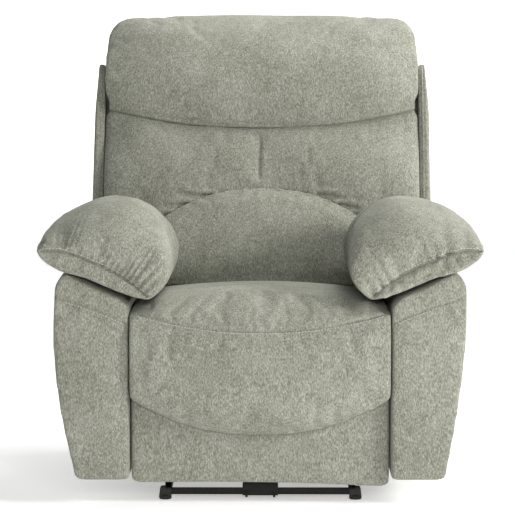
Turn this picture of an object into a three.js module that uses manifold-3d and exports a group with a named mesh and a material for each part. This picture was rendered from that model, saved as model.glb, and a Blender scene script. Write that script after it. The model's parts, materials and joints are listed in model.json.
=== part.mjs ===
// Power recliner armchair with pillow-top arms, a chaise footrest and a three-pad back.
// Millimetres. +X is the sitter's left, +Y is the back of the chair, +Z is up, and the floor is Z = 0.
// It is modelled closed: the footrest hangs shut and the back is upright.
import * as THREE from "three";
import { mergeVertices } from "three/addons/utils/BufferGeometryUtils.js";
import Module from "manifold-3d";

const wasm = await Module();
wasm.setup();

// ---- Driving dimensions ----
const SEAT_HALF_WIDTH = 272; // half the seat cushion's width
const SEAT_TOP = 452; // crown of the seat cushion above the floor
const SEAT_REAR = 42; // where the seat cushion ends, just in front of the back
const FRONT = -468; // foremost face of the chaise pad and of the arm pads
const ARM_WIDTH = 152; // arm cover, inner face to outer belly
const ARM_REAR = 300; // rear end of the arms
const ARM_CLEAR = 55; // underside of the arms above the floor
const ARM_SHOULDER = 488; // outer top corner of the arm cover
const ARM_PAD_TOP = 642; // top of the arm pillow
const ARM_PAD_REAR = 44; // rear end of the arm pillow
const BACK_HALF_WIDTH = 369; // half the width of the back's pads
const WING_THICKNESS = 22; // padded side panels of the back
const BACK_HEIGHT = 728; // recline pivot to the top of the head pad, along the back
const HEAD_PAD_HEIGHT = 268; // top of the head pad down to the seam below it
const MID_FACE_HEIGHT = 180; // that seam down to the top of the lumbar arch
const BACK_RAKE = 18; // degrees from vertical when upright
const BACK_THICKNESS = 117; // recline pivot to the rear face of the back
const FOOTREST_DROP = 45; // underside of the footrest above the floor
const FOOT_HALF_SPAN = 203; // feet from the centre line
const STEEL = 3; // thickness of every steel plate and link

// ---- Clearances ----
const CLEAR = 0.3; // between faces that meet
const ARM_GAP = 3; // seat and footrest to the arms
const LAYER_GAP = 1; // between two layers of links
const PIN_R = 4;
const PIN_CLEAR = 0.4;
const HOLE_R = PIN_R + PIN_CLEAR;
const HEAD_OVERLAP = 3; // a rivet head covers its pin by this much all round
const LINK_R = PIN_R + 6; // half the width of a link
const HEAD = { r: PIN_R + HEAD_OVERLAP, length: 1.6 }; // rivet heads

// ---- Recline geometry ----
const RECLINE_PIVOT = { y: 150, z: 330 };
const RECLINE_RANGE = THREE.MathUtils.degToRad(38);
const SWING_LENGTH = 125;
const SWING_ANGLE = THREE.MathUtils.degToRad(20); // each way from vertical
const SWING_BASE_Z = 62;
const SWING_RISE = SWING_LENGTH * Math.cos(SWING_ANGLE);
const SWING_REACH = SWING_LENGTH * Math.sin(SWING_ANGLE);
const SEAT_TRAVEL = 2 * SWING_REACH;
const FRONT_SWING_Y = -300; // base pivots of the swing links
const REAR_SWING_Y = 60;

// ---- Footrest geometry: two stacked parallelograms turn the footrest about a centre inside the cushion nose ----
const TURN = { y: -432, z: 392 };
const NOSE_R = 19; // the cushion nose is round about TURN, so that the footrest can turn round it
const FOOTREST_RANGE = THREE.MathUtils.degToRad(88);
const ARM_VECTOR = { y: 56, z: -92 }; // TURN to the footrest's upper pivot, and every rear link
const REAR_LINK_PIVOT = { y: -120, z: 222 };
const FRONT_LINK_SHARE = 0.25; // the front link's pivot lies this far from the rear link's towards TURN
const FRONT_LINK_SCALE = 1.8; // the front link's length over the rear link's

// ---- Layers of the mechanism, from the centre line out ----
const SWING_X = 219.5;
const PLATE_X = 225;
const INNER_LINK_X = PLATE_X + STEEL + LAYER_GAP;
const OUTER_LINK_X = INNER_LINK_X + STEEL + LAYER_GAP;
const BRACKET_X = OUTER_LINK_X + STEEL + LAYER_GAP;

// ---- Materials ----
function finish(color, roughness, metalness = 0) {
  return new THREE.MeshStandardMaterial({ color, roughness, metalness });
}
const fabric = finish(0x9c9f93, 0.95);
const plywood = finish(0xc9a873, 0.8);
const lumber = finish(0xd6b98a, 0.85);
const blackSteel = finish(0x16160f, 0.45, 0.6);
const springWire = finish(0x8a8d90, 0.35, 0.9);
const blackPlastic = finish(0x1a1a18, 0.55);
const rubber = finish(0x101010, 0.8);

// ---- Helpers ----
const CURVE = { curveSegments: 8, bevelEnabled: false };

// An outline in Y and Z, run along X from x0 to x1.
function alongX(shape, x0, x1, options = {}) {
  const geometry = new THREE.ExtrudeGeometry(shape, { ...CURVE, ...options, depth: x1 - x0 });
  const yzx = new THREE.Matrix4().makeBasis(
    new THREE.Vector3(0, 1, 0), new THREE.Vector3(0, 0, 1), new THREE.Vector3(1, 0, 0));
  return geometry.applyMatrix4(yzx).translate(x0, 0, 0);
}

// An outline in X and Z, run along Y from y0 to y1.
function alongY(shape, y0, y1, options = {}) {
  const geometry = new THREE.ExtrudeGeometry(shape, { ...CURVE, ...options, depth: y1 - y0 });
  return geometry.rotateX(Math.PI / 2).translate(0, y1, 0);
}

// An outline in X and Y, run along Z from z0 to z1.
function alongZ(shape, z0, z1, options = {}) {
  return new THREE.ExtrudeGeometry(shape, { ...CURVE, ...options, depth: z1 - z0 }).translate(0, 0, z0);
}

function polygon(points) {
  return new THREE.Shape(points.map(([a, b]) => new THREE.Vector2(a, b)));
}

// A polygon whose corners are rounded by the radius that each point gives, or left sharp.
function rounded(points) {
  const shape = new THREE.Shape();
  points.forEach(([a, b, radius = 0], i) => {
    const here = new THREE.Vector2(a, b);
    const before = new THREE.Vector2(...points.at(i - 1).slice(0, 2)).sub(here);
    const after = new THREE.Vector2(...points[(i + 1) % points.length].slice(0, 2)).sub(here);
    const r = Math.min(radius, before.length() / 2, after.length() / 2);
    const from = here.clone().add(before.setLength(r));
    const to = here.clone().add(after.setLength(r));
    if (i === 0) shape.moveTo(from.x, from.y);
    else shape.lineTo(from.x, from.y);
    if (r > 0) shape.quadraticCurveTo(here.x, here.y, to.x, to.y);
  });
  shape.closePath();
  return shape;
}

function box(x0, x1, y0, y1, z0, z1) {
  return new THREE.BoxGeometry(x1 - x0, y1 - y0, z1 - z0)
    .translate((x0 + x1) / 2, (y0 + y1) / 2, (z0 + z1) / 2);
}

function hole(y, z, r = HOLE_R) {
  return new THREE.Path().absarc(y, z, r, 0, 2 * Math.PI, true);
}

// A round pin along X.
function pin(y, z, x0, x1, r = PIN_R) {
  return new THREE.CylinderGeometry(r, r, Math.abs(x1 - x0), 14)
    .rotateZ(Math.PI / 2)
    .translate((x0 + x1) / 2, y, z);
}

// A flat link with round ends from a to b, with holes at the points that are listed.
function linkShape(a, b, holes, r = LINK_R) {
  const along = Math.atan2(b.z - a.z, b.y - a.y);
  const shape = new THREE.Shape();
  shape.absarc(b.y, b.z, r, along - Math.PI / 2, along + Math.PI / 2, false);
  shape.absarc(a.y, a.z, r, along + Math.PI / 2, along + 1.5 * Math.PI, false);
  shape.closePath();
  holes.forEach((h) => shape.holes.push(hole(h.y, h.z)));
  return shape;
}

function solid(geometry) {
  const bare = geometry.clone();
  bare.deleteAttribute("normal");
  bare.deleteAttribute("uv");
  const merged = mergeVertices(bare, 1e-3);
  return new wasm.Manifold(new wasm.Mesh({
    numProp: 3,
    vertProperties: merged.attributes.position.array,
    triVerts: new Uint32Array(merged.index.array),
  }));
}

function geometryOf(made) {
  const mesh = made.getMesh();
  return new THREE.BufferGeometry()
    .setAttribute("position", new THREE.BufferAttribute(mesh.vertProperties, 3))
    .setIndex(new THREE.BufferAttribute(mesh.triVerts, 1));
}

const join = (...parts) => geometryOf(parts.map(solid).reduce((a, b) => a.add(b)));
const cut = (from, ...tools) => geometryOf(tools.map(solid).reduce((a, b) => a.subtract(b), solid(from)));
const common = (a, b) => geometryOf(solid(a).intersect(solid(b)));

function point(from, vector, scale = 1) {
  return { y: from.y + vector.y * scale, z: from.z + vector.z * scale };
}

const chair = new THREE.Group();
const back = new THREE.Group(); // its own axes: Y is depth from the pivot, Z runs up the back
back.position.set(0, RECLINE_PIVOT.y, RECLINE_PIVOT.z);
back.rotation.x = -THREE.MathUtils.degToRad(BACK_RAKE);
chair.add(back);

function add(name, geometry, material, group = chair) {
  const mesh = new THREE.Mesh(geometry, material);
  mesh.name = name;
  group.add(mesh);
  return mesh;
}

// Adds a piece that is drawn on the +X side, and its mirror image on the other side.
function addPair(name, geometry, material, group = chair) {
  add(`${name}_left`, geometry, material, group);
  add(`${name}_right`, geometry, material, group).scale.x = -1;
}

// ---- Arms: a hollow upholstered cover over a plywood side frame, with a pillow on top ----
const ARM_INNER = SEAT_HALF_WIDTH + ARM_GAP;
const ARM_OUTER = ARM_INNER + ARM_WIDTH;
const ARM_FRONT = FRONT + 16;
const ARM_FALL = 52; // the arm's top falls this much towards the seat
const ARM_TOP_INNER = ARM_SHOULDER - ARM_FALL;
const ARM_TAPER = 42; // the arm is this much narrower at the floor
const ARM_WALL = 22;
const ARM_BOARD = 18;
const CAVITY_WIDTH = ARM_BOARD + 2 * CLEAR;
const REAR_CUT_START = { y: ARM_REAR - 105, z: ARM_SHOULDER + 8 };
const REAR_CUT_END = { y: ARM_REAR + 10, z: ARM_SHOULDER - 158 };

function armSection() {
  const shape = new THREE.Shape();
  shape.moveTo(ARM_INNER, ARM_CLEAR);
  shape.lineTo(ARM_OUTER - ARM_TAPER, ARM_CLEAR);
  shape.bezierCurveTo(
    ARM_OUTER - ARM_TAPER / 2, ARM_CLEAR + 110, ARM_OUTER, ARM_CLEAR + 250, ARM_OUTER, ARM_SHOULDER - 90);
  shape.quadraticCurveTo(ARM_OUTER, ARM_SHOULDER - 10, ARM_OUTER - 17, ARM_SHOULDER);
  shape.lineTo(ARM_INNER + 16, ARM_TOP_INNER);
  shape.quadraticCurveTo(ARM_INNER, ARM_TOP_INNER - 6, ARM_INNER, ARM_TOP_INNER - 26);
  shape.closePath();
  return shape;
}

// The wedge behind the arm's sloping rear shoulder, set in from it by inset.
function rearWedge(inset) {
  return polygon([
    [REAR_CUT_START.y - inset, REAR_CUT_START.z],
    [REAR_CUT_END.y - inset, REAR_CUT_END.z],
    [REAR_CUT_END.y + 60, REAR_CUT_END.z],
    [REAR_CUT_END.y + 60, REAR_CUT_START.z + 60],
    [REAR_CUT_START.y - inset, REAR_CUT_START.z + 60],
  ]);
}

function armCavity(shrink) {
  const hollow = box(
    ARM_INNER + ARM_WALL + shrink, ARM_INNER + ARM_WALL + CAVITY_WIDTH - shrink,
    ARM_FRONT + ARM_WALL + shrink, ARM_REAR - ARM_WALL - shrink,
    ARM_CLEAR - 20, ARM_TOP_INNER - ARM_WALL - shrink);
  return cut(hollow, alongX(rearWedge(ARM_WALL + 8 + shrink), ARM_INNER, ARM_OUTER));
}

function armCover() {
  const body = alongY(armSection(), ARM_FRONT, ARM_REAR);
  return cut(body, alongX(rearWedge(0), ARM_INNER - 1, ARM_OUTER + 1), armCavity(0));
}

const SWITCH = { y: ARM_FRONT + 130, z: ARM_SHOULDER - 100, halfLength: 34, halfHeight: 17, depth: 14 };
const BUTTON = { halfLength: 12, halfHeight: 9, depth: 7, travel: 1.5, proud: 2 };
const SWITCH_FACE_X = -(ARM_OUTER + 3);

function ovalAt(y, z, halfLength, halfHeight) {
  return rounded([
    [y - halfLength, z - halfHeight, halfHeight * 0.9], [y + halfLength, z - halfHeight, halfHeight * 0.9],
    [y + halfLength, z + halfHeight, halfHeight * 0.9], [y - halfLength, z + halfHeight, halfHeight * 0.9],
  ]);
}

const PILLOW = { outerOverhang: 48, innerOverhang: 90, lift: 5 };

function addArms() {
  const cover = armCover();
  add("arm_cover_left", cover, fabric);
  const recess = alongX(
    ovalAt(SWITCH.y, SWITCH.z, SWITCH.halfLength + CLEAR, SWITCH.halfHeight + CLEAR),
    SWITCH_FACE_X - 5, SWITCH_FACE_X + SWITCH.depth + CLEAR);
  const mirrored = cover.clone().scale(-1, 1, 1);
  const index = mirrored.index.array;
  for (let i = 0; i < index.length; i += 3) [index[i + 1], index[i + 2]] = [index[i + 2], index[i + 1]];
  add("arm_cover_right", cut(mirrored, recess), fabric);

  const board = box(ARM_INNER, ARM_OUTER, FRONT, ARM_REAR, ARM_CLEAR + 10, ARM_SHOULDER);
  addPair("arm_frame", common(armCavity(CLEAR), board), plywood);

  const outerEdge = ARM_OUTER + PILLOW.outerOverhang;
  const innerEdge = ARM_INNER - PILLOW.innerOverhang;
  const padTop = rounded([
    [outerEdge, ARM_PAD_TOP - 98, 60], [ARM_INNER + 105, ARM_PAD_TOP, 90], [ARM_INNER - 8, ARM_PAD_TOP, 90],
    [innerEdge, ARM_PAD_TOP - 90, 90], [innerEdge + 8, ARM_TOP_INNER + 9, 60],
    [ARM_INNER + 18, ARM_TOP_INNER + PILLOW.lift, 10], [ARM_OUTER - 12, ARM_SHOULDER + PILLOW.lift, 10],
    [outerEdge - 18, ARM_SHOULDER + 10, 30],
  ]);
  const padSide = rounded([
    [FRONT, 0], [ARM_PAD_REAR, 0], [ARM_PAD_REAR, ARM_PAD_TOP, 60], [FRONT, ARM_PAD_TOP, 120],
  ]);
  addPair("arm_pad", common(alongY(padTop, FRONT, ARM_PAD_REAR), alongX(padSide, 0, outerEdge + 1)), fabric);
}
addArms();

// ---- Rear lower panel: an upholstered board between the arms ----
const REAR_PANEL = { y: ARM_REAR - 32, thickness: 16, top: RECLINE_PIVOT.z - 28 };
add("rear_lower_panel",
  box(-ARM_INNER + CLEAR, ARM_INNER - CLEAR, REAR_PANEL.y, REAR_PANEL.y + REAR_PANEL.thickness,
    ARM_CLEAR, REAR_PANEL.top), fabric);

// ---- Steel base: two side rails on legs, joined by a front and a rear tube ----
const TUBE = { height: 13, bottom: 10.5, frontY: -360, rearY: 205, wall: 1.5 };
const RAIL = { width: 15, height: 50, wall: 2, frontY: -366, rearY: 212 };
const RAIL_BOTTOM = TUBE.bottom + TUBE.height + CLEAR;
const EAR = { z: 40, width: 40, height: 64, thickness: 3 };

function addBase() {
  const railInner = FOOT_HALF_SPAN - RAIL.width;
  const railTop = RAIL_BOTTOM + RAIL.height;
  const bore = box(railInner + RAIL.wall, FOOT_HALF_SPAN - RAIL.wall, RAIL.frontY - 1, RAIL.rearY + 1,
    RAIL_BOTTOM + RAIL.wall, railTop - RAIL.wall);
  const parts = [cut(box(railInner, FOOT_HALF_SPAN, RAIL.frontY, RAIL.rearY, RAIL_BOTTOM, railTop), bore)];
  // Ears that bolt to the inner face of the arm.
  const earFace = ARM_INNER - CLEAR;
  for (const y of [FRONT_SWING_Y + 50, REAR_SWING_Y + 70]) {
    parts.push(box(FOOT_HALF_SPAN - 1, earFace, y, y + EAR.width, EAR.z, EAR.z + EAR.thickness));
    parts.push(box(earFace - EAR.thickness, earFace, y, y + EAR.width, EAR.z, EAR.z + EAR.height));
  }
  const pinEnd = SWING_X + STEEL + HEAD.length;
  for (const y of [FRONT_SWING_Y, REAR_SWING_Y]) {
    parts.push(pin(y, SWING_BASE_Z, FOOT_HALF_SPAN - 1, pinEnd));
    parts.push(pin(y, SWING_BASE_Z, FOOT_HALF_SPAN - 1, SWING_X - CLEAR, HEAD.r));
    parts.push(pin(y, SWING_BASE_Z, SWING_X + STEEL + CLEAR, pinEnd, HEAD.r));
  }
  addPair("base_rail", join(...parts), blackSteel);

  const half = FOOT_HALF_SPAN;
  const outer = (y) => box(-half, half, y - TUBE.height / 2, y + TUBE.height / 2,
    TUBE.bottom, TUBE.bottom + TUBE.height);
  const inside = (y) => box(-half - 1, half + 1, y - TUBE.height / 2 + TUBE.wall, y + TUBE.height / 2 - TUBE.wall,
    TUBE.bottom + TUBE.wall, TUBE.bottom + TUBE.height - TUBE.wall);
  add("front_tube", cut(outer(TUBE.frontY), inside(TUBE.frontY)), blackSteel);
  add("rear_tube", cut(outer(TUBE.rearY), inside(TUBE.rearY)), blackSteel);
}
addBase();

// ---- Feet: a round glide under each tube end, with a collar that wraps the tube ----
const FOOT = { r: 13.5, height: TUBE.bottom - CLEAR, collarTop: TUBE.bottom + TUBE.height + 3.5 };

function footGeometry(y) {
  const { r, height, collarTop } = FOOT;
  const profile = [[0, 0], [r - 1.5, 0], [r, 2], [r, height - 3], [r - 2.5, height - CLEAR], [0, height - CLEAR]];
  const glide = new THREE.LatheGeometry(profile.map(([a, z]) => new THREE.Vector2(a, z)), 20)
    .rotateX(Math.PI / 2);
  const collar = alongY(rounded([
    [-r + 0.5, height - 3], [r - 0.5, height - 3], [r - 2.5, collarTop, 6], [-r + 0.5, collarTop, 8],
  ]), -10, 10);
  const tubeSpace = box(-2 * r, 2 * r, -TUBE.height / 2 - CLEAR, TUBE.height / 2 + CLEAR,
    TUBE.bottom - CLEAR, collarTop + 1);
  const railSpace = box(-2 * r, CLEAR, -r, r, RAIL_BOTTOM - CLEAR, collarTop + 1);
  return join(glide, cut(collar, tubeSpace, railSpace)).translate(FOOT_HALF_SPAN, y, 0);
}
addPair("front_foot", footGeometry(TUBE.frontY), blackPlastic);
addPair("rear_foot", footGeometry(TUBE.rearY), blackPlastic);

// ---- Swing links: a parallelogram that carries the seat forward as the back reclines ----
// The head's hole is a short slot along the link, so that the seat runs level.
function swingLink(baseY) {
  const foot = { y: baseY, z: SWING_BASE_Z };
  const head = { y: baseY + SWING_REACH, z: SWING_BASE_Z + SWING_RISE };
  const lowest = point(foot, { y: head.y - foot.y, z: head.z - foot.z }, SWING_RISE / SWING_LENGTH);
  const shape = linkShape(foot, head, [foot]);
  const slot = linkShape(lowest, head, [], PIN_R + 0.9);
  shape.holes.push(new THREE.Path(slot.getPoints(6).reverse()));
  return alongX(shape, SWING_X, SWING_X + STEEL);
}
addPair("front_swing_link", swingLink(FRONT_SWING_Y), blackSteel);
addPair("rear_swing_link", swingLink(REAR_SWING_Y), blackSteel);

// ---- Footrest linkage: everything is placed from TURN, so that it closes at every angle ----
const REAR_LINK_END = point(REAR_LINK_PIVOT, ARM_VECTOR);
const TO_TURN = { y: TURN.y - REAR_LINK_PIVOT.y, z: TURN.z - REAR_LINK_PIVOT.z };
const FRONT_LINK_PIVOT = point(REAR_LINK_PIVOT, TO_TURN, FRONT_LINK_SHARE);
const CROSSING = point(FRONT_LINK_PIVOT, ARM_VECTOR);
const FRONT_LINK_END = point(FRONT_LINK_PIVOT, ARM_VECTOR, FRONT_LINK_SCALE);
const UPPER_PIVOT = point(TURN, ARM_VECTOR); // on the footrest's bracket
const LOWER_PIVOT = point(TURN, ARM_VECTOR, FRONT_LINK_SCALE);

// ---- Seat side plates: carry the links, the swing links' heads and the back ----
const RAIL_WOOD = { height: 60, top: 310, depth: 30, frontY: -380, rearY: -8 };
const CUSHION_BOTTOM = RAIL_WOOD.top + 6;

function addSeatPlates() {
  const swingHead = (baseY) => ({ y: baseY + SWING_REACH, z: SWING_BASE_Z + SWING_RISE });
  const front = swingHead(FRONT_SWING_Y);
  const rear = swingHead(REAR_SWING_Y);
  const ear = 18;
  const shape = rounded([
    [front.y - 18, front.z - 14, 12], [front.y + 30, front.z - 14, 12],
    [REAR_LINK_PIVOT.y - 20, REAR_LINK_PIVOT.z - 22, 12], [rear.y - 40, rear.z - 14, 12],
    [RECLINE_PIVOT.y - ear + 30, rear.z - 14, 14],
    [RECLINE_PIVOT.y + ear, RECLINE_PIVOT.z - 60, 12], [RECLINE_PIVOT.y + ear, RECLINE_PIVOT.z + ear, 18],
    [RECLINE_PIVOT.y - ear, RECLINE_PIVOT.z + ear, 18], [RECLINE_PIVOT.y - ear, RECLINE_PIVOT.z - 70, 12],
    [RAIL_WOOD.rearY + RAIL_WOOD.depth + 10, RAIL_WOOD.top - 48, 8],
    [RAIL_WOOD.rearY + RAIL_WOOD.depth, RAIL_WOOD.top - 20, 8], [RAIL_WOOD.rearY, RAIL_WOOD.top - 20, 8],
    [FRONT_LINK_PIVOT.y + 40, FRONT_LINK_PIVOT.z - 10, 8], [FRONT_LINK_PIVOT.y + 18, RAIL_WOOD.top - 20, 8],
    [RAIL_WOOD.frontY, RAIL_WOOD.top - 20, 8], [RAIL_WOOD.frontY, RAIL_WOOD.top - RAIL_WOOD.height, 8],
  ]);
  const tubeHole = hole(REAR_LINK_PIVOT.y, REAR_LINK_PIVOT.z, DRIVE_TUBE.stubR + 0.5);
  shape.holes.push(tubeHole);
  const inner = PLATE_X;
  const parts = [alongX(shape, inner, inner + STEEL)];
  for (const head of [front, rear]) {
    parts.push(pin(head.y, head.z, SWING_X - HEAD.length, inner + 1));
    parts.push(pin(head.y, head.z, SWING_X - HEAD.length, SWING_X - CLEAR, HEAD.r));
  }
  for (const p of [FRONT_LINK_PIVOT, RECLINE_PIVOT]) {
    parts.push(pin(p.y, p.z, inner + 1, INNER_LINK_X + STEEL + HEAD.length));
    parts.push(pin(p.y, p.z, INNER_LINK_X + STEEL + CLEAR, INNER_LINK_X + STEEL + HEAD.length, HEAD.r));
  }
  addPair("seat_side_plate", join(...parts), blackSteel);
}

// ---- Drive tube: joins the two rear links and is turned by the actuator's nut through a crank ----
const DRIVE_TUBE = { r: 11, stubR: 6, crankR: 85, crankHalf: 6, pinR: 5, pinHalf: 20 };
const CRANK_START = FOOTREST_RANGE / 2; // the crank swings as far behind its pivot as in front of it
const CRANK_END = {
  y: REAR_LINK_PIVOT.y + DRIVE_TUBE.crankR * Math.sin(CRANK_START),
  z: REAR_LINK_PIVOT.z - DRIVE_TUBE.crankR * Math.cos(CRANK_START),
};

function addDriveTube() {
  const { y, z } = REAR_LINK_PIVOT;
  const shaft = pin(y, z, -(PLATE_X - 2), PLATE_X - 2, DRIVE_TUBE.r);
  const stub = pin(y, z, -(INNER_LINK_X - CLEAR), INNER_LINK_X - CLEAR, DRIVE_TUBE.stubR);
  const crank = alongX(linkShape(REAR_LINK_PIVOT, CRANK_END, []), -DRIVE_TUBE.crankHalf, DRIVE_TUBE.crankHalf);
  const crankPin = pin(CRANK_END.y, CRANK_END.z, -DRIVE_TUBE.pinHalf, DRIVE_TUBE.pinHalf, DRIVE_TUBE.pinR);
  add("drive_tube", join(shaft, stub, crank, crankPin), blackSteel);
}

function addFootrestLinks() {
  const inner = [INNER_LINK_X, INNER_LINK_X + STEEL];
  const outer = [OUTER_LINK_X, OUTER_LINK_X + STEEL];
  const stud = (p) => [
    pin(p.y, p.z, INNER_LINK_X + 1, outer[1] + HEAD.length),
    pin(p.y, p.z, outer[1] + CLEAR, outer[1] + HEAD.length, HEAD.r),
  ];
  addPair("rear_link", join(
    alongX(linkShape(REAR_LINK_PIVOT, REAR_LINK_END, []), ...inner), ...stud(REAR_LINK_END)), blackSteel);
  addPair("front_link", join(
    alongX(linkShape(FRONT_LINK_PIVOT, FRONT_LINK_END, [FRONT_LINK_PIVOT]), ...inner),
    ...stud(CROSSING), ...stud(FRONT_LINK_END)), blackSteel);
  addPair("upper_outer_link", alongX(
    linkShape(REAR_LINK_END, UPPER_PIVOT, [REAR_LINK_END, CROSSING, UPPER_PIVOT]), ...outer), blackSteel);
  addPair("lower_outer_link", alongX(
    linkShape(FRONT_LINK_END, LOWER_PIVOT, [FRONT_LINK_END, LOWER_PIVOT]), ...outer), blackSteel);
}
addSeatPlates();
addDriveTube();
addFootrestLinks();

// ---- Footrest: plywood board on two brackets, a padded panel and the D-shaped chaise pad ----
const BOARD = { backY: -388, thickness: 12, top: TURN.z - 42 };
const BOARD_FRONT = BOARD.backY - BOARD.thickness;
const PANEL = { thickness: 30, halfWidth: SEAT_HALF_WIDTH - 6 };
const PANEL_FRONT = BOARD_FRONT - CLEAR - PANEL.thickness;
const PAD_TOP = TURN.z - NOSE_R - 1;
const CHAISE_SIDE_Z = 227; // where the D-shaped edge meets the sides
const CHAISE_LOW_Z = 152; // the lowest point of the D-shaped edge

function addFootrest() {
  add("footrest_board",
    box(-PANEL.halfWidth + 4, PANEL.halfWidth - 4, BOARD_FRONT, BOARD.backY, FOOTREST_DROP + 12, BOARD.top), plywood);
  const face = rounded([
    [-PANEL.halfWidth, FOOTREST_DROP, 14], [PANEL.halfWidth, FOOTREST_DROP, 14],
    [PANEL.halfWidth, PAD_TOP, 4], [-PANEL.halfWidth, PAD_TOP, 4],
  ]);
  add("footrest_panel", alongY(face, PANEL_FRONT, BOARD_FRONT - CLEAR), fabric);

  const half = SEAT_HALF_WIDTH;
  const outline = new THREE.Shape();
  outline.moveTo(-half, CHAISE_SIDE_Z);
  outline.quadraticCurveTo(-half * 0.62, CHAISE_LOW_Z, 0, CHAISE_LOW_Z);
  outline.quadraticCurveTo(half * 0.62, CHAISE_LOW_Z, half, CHAISE_SIDE_Z);
  outline.lineTo(half, PAD_TOP);
  outline.lineTo(-half, PAD_TOP);
  outline.closePath();
  const side = rounded([
    [PANEL_FRONT - CLEAR, CHAISE_LOW_Z - 1], [PANEL_FRONT - CLEAR, PAD_TOP],
    [FRONT, PAD_TOP, 12], [FRONT, CHAISE_LOW_Z - 1, 20],
  ]);
  add("chaise_pad", common(alongY(outline, FRONT, PANEL_FRONT - CLEAR), alongX(side, -half, half)), fabric);

  const bracketTop = CUSHION_BOTTOM - 4;
  const plate = rounded([
    [BOARD.backY + 1, FOOTREST_DROP + 100, 6], [BOARD.backY + 1, bracketTop, 2],
    [UPPER_PIVOT.y + 14, bracketTop, 10], [UPPER_PIVOT.y + 14, UPPER_PIVOT.z - 20, 10],
    [LOWER_PIVOT.y + 14, LOWER_PIVOT.z + 8, 10], [LOWER_PIVOT.y + 8, LOWER_PIVOT.z - 14, 10],
  ]);
  const flange = box(BRACKET_X, BRACKET_X + 18, BOARD.backY + CLEAR, BOARD.backY + CLEAR + STEEL,
    FOOTREST_DROP + 100, bracketTop);
  const stud = (p) => [
    pin(p.y, p.z, OUTER_LINK_X - LAYER_GAP + CLEAR, BRACKET_X + 1),
    pin(p.y, p.z, OUTER_LINK_X - LAYER_GAP + CLEAR, OUTER_LINK_X - CLEAR, HEAD.r),
  ];
  addPair("footrest_bracket", join(
    alongX(plate, BRACKET_X, BRACKET_X + STEEL), flange, ...stud(UPPER_PIVOT), ...stud(LOWER_PIVOT)), blackSteel);
}
addFootrest();

// ---- Seat: two wooden rails, three sinuous springs and a cushion with a round nose ----
const SPRING = { r: 2, count: 3, pitch: 120, halfWave: 22, waves: 7 };

function addSeatFrame() {
  const x = PLATE_X - CLEAR;
  const z0 = RAIL_WOOD.top - RAIL_WOOD.height;
  add("seat_front_rail", box(-x, x, RAIL_WOOD.frontY, RAIL_WOOD.frontY + RAIL_WOOD.depth, z0, RAIL_WOOD.top), lumber);
  add("seat_rear_rail", box(-x, x, RAIL_WOOD.rearY, RAIL_WOOD.rearY + RAIL_WOOD.depth, z0, RAIL_WOOD.top), lumber);

  const wire = new THREE.Shape().absarc(0, 0, SPRING.r, 0, 2 * Math.PI);
  const from = RAIL_WOOD.frontY + 10;
  const to = RAIL_WOOD.rearY + RAIL_WOOD.depth - 10;
  for (let i = 0; i < SPRING.count; i++) {
    const x0 = (i - (SPRING.count - 1) / 2) * SPRING.pitch;
    const points = [];
    const steps = SPRING.waves * 4;
    for (let k = 0; k <= steps; k++) {
      const swing = SPRING.halfWave * Math.sin((k / steps) * SPRING.waves * Math.PI * 2);
      points.push(new THREE.Vector3(x0 + swing, from + ((to - from) * k) / steps, RAIL_WOOD.top + SPRING.r + 1));
    }
    const path = new THREE.CatmullRomCurve3(points);
    add(`seat_spring_${i + 1}`, new THREE.ExtrudeGeometry(wire, {
      curveSegments: 3, steps: steps * 2, bevelEnabled: false, extrudePath: path }), springWire);
  }
}
addSeatFrame();

function addSeatCushion() {
  const side = new THREE.Shape();
  const stepY = BOARD.backY + 6;
  side.moveTo(SEAT_REAR, CUSHION_BOTTOM);
  side.lineTo(SEAT_REAR, SEAT_TOP - 42);
  side.quadraticCurveTo(SEAT_REAR - 10, SEAT_TOP - 22, SEAT_REAR - 60, SEAT_TOP - 14);
  side.quadraticCurveTo(TURN.y + 240, SEAT_TOP + 6, TURN.y + 60, SEAT_TOP - 8);
  side.quadraticCurveTo(TURN.y - NOSE_R, SEAT_TOP - 16, TURN.y - NOSE_R, TURN.z);
  side.absarc(TURN.y, TURN.z, NOSE_R, Math.PI, 1.5 * Math.PI, false);
  side.lineTo(stepY - 8, TURN.z - NOSE_R);
  side.lineTo(stepY, CUSHION_BOTTOM);
  side.closePath();
  const half = SEAT_HALF_WIDTH;
  const front = new THREE.Shape();
  front.moveTo(-half, CUSHION_BOTTOM - 1);
  front.lineTo(half, CUSHION_BOTTOM - 1);
  front.lineTo(half, SEAT_TOP - 62);
  front.quadraticCurveTo(half, SEAT_TOP - 30, half - 62, SEAT_TOP - 18);
  front.quadraticCurveTo(0, SEAT_TOP + 16, -half + 62, SEAT_TOP - 18);
  front.quadraticCurveTo(-half, SEAT_TOP - 30, -half, SEAT_TOP - 62);
  front.closePath();
  add("seat_cushion", common(alongX(side, -half, half), alongY(front, FRONT, SEAT_REAR + 1)), fabric);
}
addSeatCushion();

// ---- Back: wooden ladder frame, rear panel, wings and three pads, all in the back's own axes ----
const NARROW_HALF = SEAT_HALF_WIDTH - 10; // the part of the back that goes down between the arms
const WING_BOTTOM = 240;
const WING_TOP = BACK_HEIGHT - 118;
const WING_FRONT = -72;
const POST = {
  x: INNER_LINK_X + STEEL + HEAD.length + CLEAR, width: 24, front: -20, rear: 22, bottom: -40, top: BACK_HEIGHT - 88,
};
const TOP_RAIL_HEIGHT = 60;
const LOWER_RAIL = { bottom: 120, top: 170 };
const REAR_SKIN = 12;
const REAR_TOP = POST.top - 2; // the head pad comes down to the rear panel here
const HEAD_SEAM = BACK_HEIGHT - HEAD_PAD_HEIGHT;
const PAD_FRONT = { head: -130, mid: -98, lumbar: -125 }; // how far each pad stands forward of the pivot
const MID_BOTTOM = -30;
const LUMBAR = { half: SEAT_HALF_WIDTH - 32, bottom: 70, top: HEAD_SEAM - MID_FACE_HEIGHT };

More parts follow.
